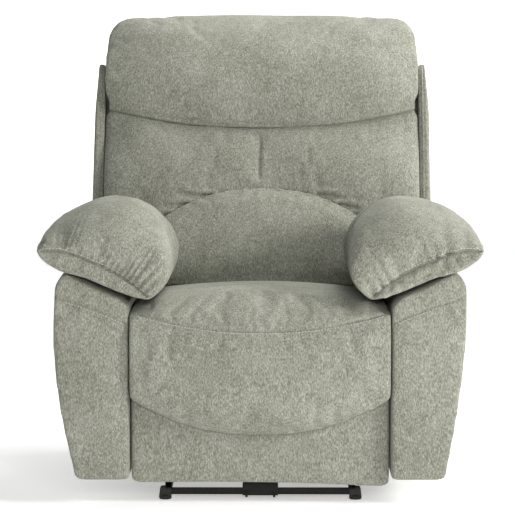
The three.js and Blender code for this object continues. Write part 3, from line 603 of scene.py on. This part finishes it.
# ---- Arm covers ----
# Fabric over a firm padded box. The front is a panel of its own: a seam with top stitching curves
# across it from the inner corner up to the outside, and another runs round its outer edge.
ARM_LOW, ARM_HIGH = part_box("arm_cover_left")
SWITCH_LOW, SWITCH_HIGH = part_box("switch_plate")
SWITCH_PROUD = 0.004  # how far the plate stands out of the cover


def arm_seam_height(x):
    """The curved seam under the pillow, from the inner corner up to the outside."""
    share = np.clip((np.abs(x) - ARM_LOW.x) / (ARM_HIGH.x - ARM_LOW.x), 0, 1)
    return 0.382 + 0.060 * share ** 0.75


def mirror_and_ride(side, body, *pieces):
    """Pieces are made for the chair's left side, and mirrored for its right."""
    for piece in pieces:
        if side < 0:
            piece.data.transform(Matrix.Scale(-1, 4, (1, 0, 0)))
            piece.data.flip_normals()
        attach(piece, body)


def make_arm_cover(name, side):
    low, high = ARM_LOW, ARM_HIGH
    front = outline([
        (low.x, low.z - 0.001, 0.003), (low.x + 0.113, low.z - 0.001, 0.006), (low.x + 0.137, 0.180, 0.12),
        (high.x + 0.003, 0.340, 0.12), (high.x + 0.003, 0.470, 0.04), (high.x - 0.018, 0.494, 0.016),
        (low.x + 0.010, 0.436, 0.016), (low.x, 0.42, 0.010)])
    arm = new_piece(name, prism(front, low.y + 0.002, high.y - 0.002, 1), fabric)
    slope = outline([
        (low.y - 0.01, low.z - 0.02), (high.y + 0.01, low.z - 0.02), (high.y + 0.01, 0.334, 0.0),
        (0.196, 0.496, 0.03), (0.17, 0.53), (low.y - 0.01, 0.53)])
    meet(arm, prism(slope, low.x - 0.05, high.x + 0.05, 0))
    upholster(arm, voxel=0.0075, soften=4)
    x, y, z = points_of(arm).T
    share = np.clip((x - low.x) / (high.x - low.x), 0, 1)
    rise = np.clip((z - low.z) / 0.43, 0, 1)
    dome = np.sin(share * pi) ** 0.6 * np.sin(rise * pi) ** 0.5
    y -= smooth_step(low.y + 0.03, low.y, y) * 0.006 * dome
    outer = smooth_step(0.62, 1.0, share)
    x += outer * 0.004 * np.sin(rise * pi) * (1 + 0.4 * np.sin(y * 6 + 1.5 * side))
    move_to(arm, np.stack((x, y, z), 1))
    subdivide(arm)
    x, y, z = points_of(arm).T
    normal = normals_of(arm)
    facing = smooth_step(0.3, 0.8, -normal[:, 1]) * (y < low.y + 0.04)
    off_seam = z - arm_seam_height(x)
    groove = 0.0032 * near(off_seam, 0.0032) + 0.0016 * near(off_seam, 0.010)
    pull = 0.0016 * near(off_seam + 0.02, 0.022) * np.sin(x * 90 + z * 40 + side) * smooth_step(0.30, 0.36, x)
    dent(arm, facing * (groove + pull))
    # The seam round the front edge of the outer side, and faint waves in the side panel.
    x, y, z = points_of(arm).T
    aside = smooth_step(0.4, 0.8, normals_of(arm)[:, 0])
    edge = 0.0028 * near(y - (low.y + 0.022), 0.0035)
    waves = 0.0016 * np.sin(y * 14 + side) * np.sin(z * 11 + 2 * y)
    dent(arm, aside * (edge + waves))
    if side < 0:
        # The cover is drawn flat under the switch plate, which is screwed through it.
        x, y, z = points_of(arm).T
        off = np.hypot(y - (SWITCH_LOW.y + SWITCH_HIGH.y) / 2, z - (SWITCH_LOW.z + SWITCH_HIGH.z) / 2)
        flat = -SWITCH_LOW.x - SWITCH_PROUD
        drawn = smooth_step(0.110, 0.048, off)
        x -= np.maximum(x - flat, 0) * drawn
        move_to(arm, np.stack((x, y, z), 1))
    reach = np.linspace(low.x + 0.004, high.x - 0.010, 30)
    seam = [(across, arm_seam_height(across) - STITCH_OFFSET) for across in reach]
    row = stitch_row(name.replace("upholstery", "stitching"), arm, seam)
    mirror_and_ride(side, "base", arm, row)
    return arm


arm_left = make_arm_cover("arm_upholstery_left", 1)
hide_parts("arm_cover_left")
arm_right = make_arm_cover("arm_upholstery_right", -1)
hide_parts("arm_cover_right")

# ---- Arm pillows ----
# Loose-filled pillows that wrap over the arms. The top fabric is gathered into the seam of a crescent
# shaped front panel, and top stitched along it.
PAD_FRONT = cad_box[0].y + 0.002
PAD_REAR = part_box("arm_pad_left")[1].y - 0.002
PAD_ROUND_FRONT = 0.185  # how far back from the front the top starts to fall
PAD_ROUND_REAR = 0.12
TAIL_START = -0.003  # where the inner side's sloping rear is, 0.45 m above the floor
TAIL_SLOPE = 1.48
CHIN_SEAM = [(0.458, 0.540), (0.415, 0.539), (0.382, 0.529), (0.333, 0.509), (0.293, 0.489), (0.260, 0.466),
             (0.234, 0.442)]


def pad_floor(x):
    """Height of the pillow's underside, which rests on the arm's sloping top."""
    return np.interp(x, [0.18, 0.228, 0.26, 0.30, 0.367, 0.42, 0.475], [0.48, 0.436, 0.440, 0.454, 0.482, 0.495, 0.535])


def make_arm_pad(name, side, seed, pitch, depth, dimples):
    """Made with its own gathers: their spacing and depth, and how dimpled the front panel is."""
    section = outline([
        (0.4740, 0.546, 0.025), (0.452, 0.578, 0.040), (0.385, 0.618, 0.050), (0.325, 0.638, 0.050),
        (0.268, 0.630, 0.060), (0.206, 0.590, 0.050), (0.184, 0.532, 0.050), (0.190, 0.468, 0.030),
        (0.226, 0.435, 0.012), (0.262, 0.4415, 0.010), (0.300, 0.455, 0.010), (0.367, 0.4835, 0.010),
        (0.420, 0.4955, 0.020), (0.458, 0.514, 0.020)])
    pad = new_piece(name, prism(section, PAD_FRONT + 0.004, PAD_REAR - 0.004, 1), fabric)
    finished(pad, "REMESH", mode="VOXEL", voxel_size=0.006)
    x, y, z = points_of(pad).T
    # Round off the two ends: the top falls to the front seam and, behind, to the back of the chair.
    base = pad_floor(x)
    ahead = np.clip((PAD_FRONT + PAD_ROUND_FRONT - y) / PAD_ROUND_FRONT, 0, 1)
    behind = np.clip((y - PAD_REAR + PAD_ROUND_REAR) / PAD_ROUND_REAR, 0, 1)
    keep = np.sqrt(1 - 0.78 * ahead ** 2.8) * np.sqrt(1 - 0.72 * behind ** 2.4)
    keep *= 1 - 0.10 * smooth_step(-0.36, 0.0, y)
    z = base + (z - base) * keep
    middle = 0.325
    x = middle + (x - middle) * (1 - 0.03 * ahead ** 3 - 0.05 * behind ** 3)
    move_to(pad, np.stack((x, y, z), 1))
    finished(pad, "SMOOTH", factor=0.5, iterations=10)

    at = points_of(pad)
    x, y, z = at.T
    flat = at[:, [0, 2]]
    off_seam, _ = polyline_distance(flat, CHIN_SEAM)
    in_front = y < PAD_FRONT + 0.05
    under = z < pad_floor(x) + 0.010
    sewn = np.maximum(near(off_seam, 0.007) * in_front, under)
    stuff(pad, sewn, cap=0.010, pressure=3.0, slack=0.03)
    # The rear of the inner side slopes, as the back comes forward under it when it reclines.
    x, y, z = points_of(pad).T
    slope = TAIL_START + (z - 0.45) * TAIL_SLOPE
    y -= np.maximum(y - slope, 0) * smooth_step(0.315, 0.276, x)
    move_to(pad, np.stack((x, y, z), 1))
    subdivide(pad)

    at = points_of(pad)
    x, y, z = at.T
    facing = smooth_step(0.0, 0.5, -normals_of(pad)[:, 1]) * (y < PAD_FRONT + 0.09)
    off_seam, along = polyline_distance(at[:, [0, 2]], CHIN_SEAM)
    above = z > np.interp(x, [p[0] for p in reversed(CHIN_SEAM)], [p[1] for p in reversed(CHIN_SEAM)])
    groove = 0.0055 * near(off_seam, 0.0034) + 0.0030 * near(off_seam, 0.010)
    # Gathers: short folds that start at the seam and fade out up the pillow.
    phase = along * 2 * pi / pitch + 1.7 * np.sin(along * 57 + seed) + 14 * off_seam * np.sin(along * 31 + seed)
    reach = 0.030 + 0.016 * np.sin(along * 43 + 2 * seed)
    crowd = smooth_step(0.01, 0.07, along) * (0.60 + 0.40 * np.sin(along * 29 + seed))
    gather = depth * np.sin(phase) * np.exp(-off_seam / reach) * above * crowd
    panel = dimples * np.sin(x * 150 + seed) * np.sin(z * 130 + x * 60) * (1 - above) * smooth_step(0.004, 0.014, off_seam)
    dent(pad, facing * (groove + gather + panel))
    row = stitch_row(name.replace("pillow", "pillow_stitching"), pad, [(a, b + STITCH_OFFSET) for a, b in CHIN_SEAM])
    # Broad folds over the top.
    at = points_of(pad)
    x, y, z = at.T
    fold = 0.0030 * np.sin(x * 31 + y * 9 + seed) * np.sin(y * 13 - 2 * seed + 3 * x)
    fold += 0.0016 * np.sin(x * 57 - y * 33 + 3 * seed) * np.sin(y * 41 + x * 11 + seed)
    upper = smooth_step(0.0, 0.05, z - pad_floor(x) - 0.03)
    dent(pad, upper * fold)
    mirror_and_ride(side, "base", pad, row)
    return pad


pad_left = make_arm_pad("arm_pillow_left", 1, 0.4, pitch=0.0270, depth=0.0075, dimples=0.0024)
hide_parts("arm_pad_left")
pad_right = make_arm_pad("arm_pillow_right", -1, 2.3, pitch=0.0130, depth=0.0042, dimples=0.0004)
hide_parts("arm_pad_right")

# ---- Back: placing ----
# Everything on the back is made standing upright over the recline pivot and then leaned onto its frame.
recline = next(j for j in frame["record"]["behaviour"]["joints"] if j["name"] == "back_recline")
BACK_RAKE = radians(18)
LEAN = Matrix.Translation(recline["pos_m"]) @ Matrix.Rotation(-BACK_RAKE, 4, "X")
BACK_HALF = 0.3685
HEAD_SEAM_MIDDLE = 0.442  # height of the head pad's lower edge, up the back
HEAD_SEAM_RISE = 0.053
TUCK = 0.004  # how far the pads press past the seams they share, before their edges are softened


def head_seam(x):
    return HEAD_SEAM_MIDDLE + HEAD_SEAM_RISE * (np.abs(x) / BACK_HALF) ** 2.4


def on_back(piece):
    piece.data.transform(LEAN)
    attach(piece, "back")


# ---- Head pad ----
# A full pillow across the top of the back. It hooks over the top rail and down behind it, and its
# lower edge is a curved seam.
def make_head():
    low_edge = [(x, head_seam(x) - TUCK) for x in np.linspace(-BACK_HALF + 0.008, BACK_HALF - 0.008, 17)]
    face = [Vector(p) for p in low_edge] + outline([
        (BACK_HALF, 0.520, 0.010), (BACK_HALF, 0.600, 0.02), (BACK_HALF - 0.008, 0.720, 0.060),
        (0.16, 0.742, 0.05), (0, 0.745, 0.05), (-0.16, 0.742, 0.05), (-BACK_HALF + 0.008, 0.720, 0.060),
        (-BACK_HALF, 0.600, 0.02), (-BACK_HALF, 0.520, 0.010)])
    head = new_piece("head_pillow", prism(face, -0.15, 0.13, 1), fabric)
    side = outline([
        (-0.027, 0.40), (-0.092, 0.40, 0.004), (-0.104, 0.480, 0.030), (-0.124, 0.580, 0.060), (-0.088, 0.705, 0.060),
        (-0.020, 0.745, 0.040), (0.060, 0.742, 0.040), (0.112, 0.715, 0.030), (0.116, 0.642, 0.004),
        (0.040, 0.642, 0.004), (-0.027, 0.642, 0.004)])
    meet(head, prism(side, -0.4, 0.4, 0))
    upholster(head, voxel=0.0072, soften=6)
    x, t, s = points_of(head).T
    # The front is fullest in the middle and turns in at the sides.
    ahead = smooth_step(-0.03, -0.09, t)
    t += ahead * 0.022 * (np.abs(x) / BACK_HALF) ** 6
    t -= ahead * 0.006 * (1 - (x / BACK_HALF) ** 2)
    move_to(head, np.stack((x, t, s), 1))
    x, t, s = points_of(head).T
    hidden = (s < 0.66) & (t > -0.04)
    seam = near(s - head_seam(x), 0.012)
    sewn = np.maximum(np.maximum(hidden, seam), near(np.abs(x) - BACK_HALF, 0.010))
    stuff(head, sewn, cap=0.010, pressure=3.0, slack=0.003)
    fit_width(head, BACK_HALF)
    subdivide(head)
    x, t, s = points_of(head).T
    facing = smooth_step(0.1, 0.6, -normals_of(head)[:, 1])
    edge = np.abs(x) / BACK_HALF
    tuck = 0.003 * near(s - head_seam(x), 0.008)
    pull = 0.0020 * np.sin(s * 120 + 9 * x + 3 * np.sin(x * 40)) * smooth_step(0.90, 0.98, edge)
    broad = 0.0014 * np.sin(x * 11 + 1.0) * np.sin(s * 27 + 2 * x) + 0.0012 * np.sin(x * 29 + s * 17)
    dent(head, facing * (tuck + pull + broad))
    on_back(head)
    return head


head = make_head()
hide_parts("head_pad")


# ---- Middle back pad ----
# A broad pad between the head pad and the lumbar arch, with a short pleat down its middle and creases
# that run out of the ends of the arch.
def make_middle():
    half = BACK_HALF
    top_edge = [(x, head_seam(x) + TUCK) for x in np.linspace(half - 0.010, -half + 0.010, 17)]
    narrow = 0.262
    face = [Vector(p) for p in top_edge] + outline([
        (-half, 0.480, 0.010), (-half, 0.250, 0.020), (-narrow, 0.246, 0.010), (-narrow, -0.026, 0.020),
        (narrow, -0.026, 0.020), (narrow, 0.246, 0.010), (half, 0.250, 0.020), (half, 0.480, 0.010)])
    middle = new_piece("middle_back_pillow", prism(face, -0.110, -0.027, 1), fabric)
    meet(middle, prism(lumbar_face(0.0), -0.2, -0.082, 1), "DIFFERENCE")
    upholster(middle, voxel=0.0070, soften=6)
    x, t, s = points_of(middle).T
    ahead = smooth_step(-0.035, -0.10, t)
    fullness = smooth_step(0.33, 0.46, s)
    t += ahead * (0.018 * fullness + 0.020 * (np.abs(x) / half) ** 7)
    move_to(middle, np.stack((x, t, s), 1))
    x, t, s = points_of(middle).T
    hidden = (t > -0.04) | (t > -0.095) & (s < lumbar_arch(x) + 0.01) & (np.abs(x) < 0.27)
    seam = near(s - head_seam(x), 0.012)
    arch = near(s - lumbar_arch(x), 0.015) * (np.abs(x) < 0.26)
    pleat = near(x - PLEAT_X, 0.006) * (s > PLEAT_LOW) * (s < PLEAT_HIGH)
    sewn = np.maximum.reduce([hidden * 1.0, seam, arch, pleat, near(np.abs(x) - half, 0.012)])
    stuff(middle, sewn, cap=0.010, pressure=3.0, slack=0.008)
    fit_width(middle, BACK_HALF)
    subdivide(middle)
    at = points_of(middle)
    x, t, s = at.T
    facing = smooth_step(0.1, 0.6, -normals_of(middle)[:, 1])
    tuck = 0.003 * near(s - head_seam(x), 0.008)
    ends = smooth_step(PLEAT_LOW, PLEAT_LOW + 0.03, s) * smooth_step(PLEAT_HIGH + 0.01, PLEAT_HIGH - 0.02, s)
    pleat = 0.0034 * near(x - PLEAT_X + 0.0015 * np.sin(s * 60), 0.0034) * ends
    broad = 0.0020 * np.sin(x * 13 + 0.6) * np.sin(s * 23 + 3 * x) + 0.0010 * np.sin(x * 37 + s * 19)
    folds = np.zeros(len(x))
    flat = at[:, [0, 2]]
    for start, bend, end, depth in CREASES:
        off, along = polyline_distance(flat, [start, bend, end])
        whole = np.linalg.norm(np.subtract(bend, start)) + np.linalg.norm(np.subtract(end, bend))
        fade = np.sin(np.clip(along / whole, 0, 1) * pi * 0.5 + pi * 0.5) ** 0.6
        folds += depth * (near(off, 0.0045) - 0.35 * near(off - 0.011, 0.006)) * fade
    dent(middle, facing * (tuck + pleat + broad + folds))
    on_back(middle)
    return middle


PLEAT_X = -0.006
PLEAT_LOW = 0.296
PLEAT_HIGH = 0.424
LUMBAR_TOP = 0.283
LUMBAR_HALF = 0.262
LUMBAR_LOW = 0.052


def lumbar_arch(x):
    """Height of the lumbar pad's upper edge, up the back."""
    return LUMBAR_TOP - 2.17 * np.minimum(np.abs(x), LUMBAR_HALF) ** 2.33


def lumbar_face(grow):
    """The outline of the lumbar pad, and of the recess that it sits in."""
    half = LUMBAR_HALF + grow
    arch = [Vector((x, lumbar_arch(x) + grow)) for x in np.linspace(half - 0.004, -half + 0.004, 25)]
    return arch + [Vector((-half, LUMBAR_LOW - grow)), Vector((half, LUMBAR_LOW - grow))]


CREASES = [  # start at the arch, bend, end, depth
    ((-0.117, 0.268), (-0.155, 0.268), (-0.202, 0.278), 0.0085),
    ((-0.168, 0.247), (-0.195, 0.246), (-0.225, 0.241), 0.0080),
    ((-0.208, 0.222), (-0.225, 0.223), (-0.245, 0.219), 0.0065),
    ((0.130, 0.270), (0.160, 0.268), (0.198, 0.262), 0.0085),
    ((0.180, 0.247), (0.205, 0.243), (0.236, 0.232), 0.0080),
    ((0.215, 0.226), (0.232, 0.222), (0.250, 0.212), 0.0060),
]

middle = make_middle()
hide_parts("mid_back_pad")


# ---- Lumbar pad ----
# A firm pad with an arched top at the bottom of the back. Its seam is drawn in tight, so its face
# stands proud of the pad behind it.
def make_lumbar():
    lumbar = new_piece("lumbar_pillow", prism(lumbar_face(TUCK), -0.118, -0.0825, 1), fabric)
    upholster(lumbar, voxel=0.0062, soften=5)
    x, t, s = points_of(lumbar).T
    ahead = smooth_step(-0.085, -0.112, t)
    share = np.clip((s - LUMBAR_LOW) / (lumbar_arch(x) - LUMBAR_LOW), 0, 1)
    dome = (1 - share ** 3) * (1 - 0.75 * (np.abs(x) / LUMBAR_HALF) ** 3)
    dome *= 0.5 + 0.5 * smooth_step(0, 0.3, share)
    t -= ahead * 0.016 * dome
    move_to(lumbar, np.stack((x, t, s), 1))
    x, t, s = points_of(lumbar).T
    sewn = np.maximum((t > -0.095) * 1.0, near(s - lumbar_arch(x), 0.010))
    stuff(lumbar, sewn, cap=0.008, pressure=3.0, slack=0.01)
    subdivide(lumbar)
    x, t, s = points_of(lumbar).T
    facing = smooth_step(0.1, 0.6, -normals_of(lumbar)[:, 1])
    below = lumbar_arch(x) - s
    seam = 0.0025 * near(below, 0.007)
    angle = np.arctan2(x, s - 0.05)
    pull = 0.0012 * np.sin(angle * 34 + 2 * np.sin(angle * 9)) * np.exp(-np.abs(below) / 0.02)
    broad = 0.0016 * np.sin(x * 15 + 0.7) * np.sin(s * 25 + 2 * x)
    dent(lumbar, facing * (seam + pull + broad))
    on_back(lumbar)
    return lumbar


lumbar = make_lumbar()
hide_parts("lumbar_pad")


# ---- Sheet behind the pads ----
# A sheet of the cover fabric stapled over the front of the back's frame, which the pads lie against.
def make_sheet():
    half, narrow = BACK_HALF - 0.0006, 0.260
    face = outline([
        (-narrow, -0.020), (narrow, -0.020), (narrow, 0.244), (half, 0.244), (half, 0.600), (-half, 0.600),
        (-half, 0.244), (-narrow, 0.244)])
    sheet = new_piece("back_sheet", prism(face, -0.0255, -0.0206, 1), fabric)
    finished(sheet, "BEVEL", width=0.0015, segments=2, limit_method="ANGLE", angle_limit=radians(50))
    on_back(sheet)
    return sheet


make_sheet()

# ---- Wings ----
# Padded panels that close the sides of the back. A double seam runs up the front edge of each.
WING_BOTTOM = 0.242
WING_TOP = 0.610
WING_FRONT = -0.076
WING_THICK = 0.0225
BACK_REAR = 0.116


def make_wing(name, side):
    face = outline([
        (WING_FRONT, WING_BOTTOM, 0.020), (BACK_REAR, WING_BOTTOM, 0.012), (BACK_REAR, WING_TOP, 0.022),
        (WING_FRONT, WING_TOP, 0.045)])
    wing = new_piece(name, prism(face, BACK_HALF + 0.0005, BACK_HALF + WING_THICK, 0), fabric)
    upholster(wing, voxel=0.0055, soften=4)
    x, t, s = points_of(wing).T
    outer = smooth_step(BACK_HALF + 0.008, BACK_HALF + WING_THICK, x)
    x += outer * (0.004 * smooth_step(WING_TOP, WING_BOTTOM, s) - 0.006 * smooth_step(WING_TOP - 0.14, WING_TOP, s))
    x += outer * 0.003 * np.sin(np.clip((t - WING_FRONT) / (BACK_REAR - WING_FRONT), 0, 1) * pi)
    move_to(wing, np.stack((x, t, s), 1))
    subdivide(wing)
    x, t, s = points_of(wing).T
    facing = smooth_step(0.3, 0.8, -normals_of(wing)[:, 1])
    twin = near(x - BACK_HALF - 0.0055, 0.0024) + near(x - BACK_HALF - 0.0125, 0.0024)
    outward = smooth_step(0.4, 0.8, normals_of(wing)[:, 0])
    waves = 0.0012 * np.sin(t * 31 + side) * np.sin(s * 17 + t * 9)
    dent(wing, 0.0036 * facing * twin + outward * waves)
    if side < 0:
        wing.data.transform(Matrix.Scale(-1, 4, (1, 0, 0)))
        wing.data.flip_normals()
    on_back(wing)
    return wing


for side, suffix in ((1, "left"), (-1, "right")):
    wing = make_wing("wing_" + suffix, side)
    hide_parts("back_wing_" + suffix)


# ---- Side closures of the back ----
# Two strips of covered card on each side. The upper one closes the slit between the wing and the head
# pad, and the lower one covers the post between the wing and the arm.
POST_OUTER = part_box("back_post_left")[1].x + 0.0004
CLOSURES = {  # inner x, outer x, bottom and top
    "upper": (BACK_HALF - 0.016, BACK_HALF - 0.001, 0.575, 0.6435),
    "lower": (POST_OUTER, 0.2605, 0.052, 0.2435),
}


def make_closure(name, side, inner, outer, bottom, top):
    face = outline([
        (-0.0200, bottom, 0.006), (BACK_REAR - 0.0110, bottom, 0.006), (BACK_REAR - 0.0110, top, 0.004),
        (-0.0200, top, 0.004)])
    strip = new_piece(name, prism(face, inner, outer, 0), fabric)
    finished(strip, "BEVEL", width=0.0008, segments=2, limit_method="ANGLE", angle_limit=radians(50))
    if side < 0:
        strip.data.transform(Matrix.Scale(-1, 4, (1, 0, 0)))
        strip.data.flip_normals()
    on_back(strip)


for side, suffix in ((1, "left"), (-1, "right")):
    for level, place in CLOSURES.items():
        make_closure("back_closure_" + level + "_" + suffix, side, *place)


# ---- Rear panel of the back ----
# The outside back: fabric over card, stapled round the frame and closed with a seam down each side.
def make_rear():
    half, narrow = BACK_HALF - 0.002, 0.260
    face = outline([
        (-narrow, 0.012, 0.014), (narrow, 0.012, 0.014), (narrow, WING_BOTTOM, 0.010), (half, WING_BOTTOM, 0.010),
        (half, 0.636, 0.006), (-half, 0.636, 0.006), (-half, WING_BOTTOM, 0.010), (-narrow, WING_BOTTOM, 0.010)])
    rear = new_piece("outside_back", prism(face, BACK_REAR - 0.0105, BACK_REAR - 0.0005, 1), fabric)
    upholster(rear, voxel=0.0055, soften=3)
    x, t, s = points_of(rear).T
    out = smooth_step(BACK_REAR - 0.006, BACK_REAR - 0.002, t)
    t += out * 0.007 * (1 - (x / half) ** 2) * np.sin(np.clip(s / 0.64, 0, 1) * pi)
    t += out * 0.0013 * np.sin(x * 9 + 4 * s) * np.sin(s * 13 + 3 * x)
    move_to(rear, np.stack((x, t, s), 1))
    on_back(rear)
    return rear


rear = make_rear()
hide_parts("back_rear_panel")


# ---- Rear lower panel ----
# A board in the same fabric between the arms, below the back.
def make_rear_lower():
    low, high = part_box("rear_lower_panel")
    face = outline([(low.x, low.z, 0.006), (high.x, low.z, 0.006), (high.x, high.z, 0.006), (low.x, high.z, 0.006)])
    board = new_piece("lower_outside_back", prism(face, low.y, high.y, 1), fabric)
    upholster(board, voxel=0.0065, soften=3)
    x, y, z = points_of(board).T
    y += smooth_step(high.y - 0.006, high.y - 0.001, y) * 0.0012 * np.sin(x * 14) * np.sin(z * 19 + 2 * x)
    move_to(board, np.stack((x, y, z), 1))
    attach(board, "base")
    return board


rear_lower = make_rear_lower()
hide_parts("rear_lower_panel")


# ---- Steel, wood, springs and plastic of the frame ----
# The mechanism is black powder coat with rubbed edges, the frame is pale softwood and plywood, the
# springs and screw are bright wire, and the feet, motor and switch are moulded plastic.
def powder_coat():
    coat = Finish("black_powder_coat")
    orange_peel = coat.noise((700, 700, 700), detail=2.0)
    scuffs = coat.noise((30, 30, 30), detail=6.0, roughness=0.7)
    coat.set(
        Base_Color=coat.colours(scuffs, (0.40, (0.005, 0.005, 0.004)), (0.75, (0.012, 0.012, 0.010))),
        Roughness=0.45 + scuffs * 0.2, Metallic=0.10, Specular_IOR_Level=0.25)
    return coat.bump(orange_peel, distance=0.0003, strength=0.6).material


def timber():
    wood = Finish("softwood")
    grain = wood.noise((14, 14, 14), detail=4.0, roughness=0.6)
    rings = wood.node("TexWave", {"bands_direction": "Z"}, Vector=wood.place((6, 60, 60)), Scale=2.0,
                      Distortion=6.0, Detail=3.0, Detail_Scale=1.5)
    tone = rings * 0.6 + grain * 0.4
    wood.set(Base_Color=wood.colours(tone, (0.2, (0.52, 0.35, 0.19)), (0.8, (0.72, 0.55, 0.35))),
             Roughness=0.55 + grain * 0.3)
    return wood.bump(tone, distance=0.0008, strength=0.5).material


def plywood():
    ply = Finish("plywood")
    veneer = ply.node("TexWave", {"bands_direction": "X"}, Vector=ply.place((500, 30, 6)), Scale=1.0,
                      Distortion=5.0, Detail=3.0)
    grain = ply.noise((260, 90, 12), detail=4.0, roughness=0.7)
    tone = veneer * 0.3 + grain * 0.7
    ply.set(Base_Color=ply.colours(tone, (0.25, (0.42, 0.27, 0.14)), (0.75, (0.63, 0.46, 0.27))), Roughness=0.7)
    return ply.bump(grain, distance=0.0006, strength=0.5).material


def bright_wire():
    wire = Finish("bright_wire")
    drawn = wire.noise((900, 40, 900), detail=2.0)
    wire.set(Base_Color=wire.colours(drawn, (0.3, (0.30, 0.31, 0.32)), (0.7, (0.52, 0.53, 0.54))),
             Roughness=0.25 + drawn * 0.25, Metallic=1.0)
    return wire.material


def moulded():
    plastic = Finish("black_moulding")
    grain = plastic.noise((1300, 1300, 1300), detail=2.0)
    plastic.set(Base_Color=plastic.colours(grain, (0.3, (0.012, 0.012, 0.011)), (0.7, (0.024, 0.024, 0.022))),
                Roughness=0.45 + grain * 0.25, Specular_IOR_Level=0.3)
    return plastic.bump(grain, distance=0.0002, strength=0.5).material


def button_rubber():
    rubber = Finish("button_rubber")
    dust = rubber.noise((60, 60, 60), detail=5.0, roughness=0.7)
    rubber.set(Base_Color=rubber.colours(dust, (0.4, (0.020, 0.020, 0.020)), (0.8, (0.045, 0.045, 0.043))),
               Roughness=0.6 + dust * 0.25)
    return rubber.bump(dust, distance=0.0002, strength=0.4).material


finishes = {
    "black_steel": powder_coat(),
    "frame_timber": timber(),
    "plywood": plywood(),
    "spring_steel": bright_wire(),
    "black_plastic": moulded(),
    "button_rubber": button_rubber(),
}
slots = {part["node"]: part["material_slot"] for part in frame["record"]["subparts"]}
for node, part in frame["nodes"].items():
    if slots[node] in finishes:
        part.data.materials.clear()
        part.data.materials.append(finishes[slots[node]])
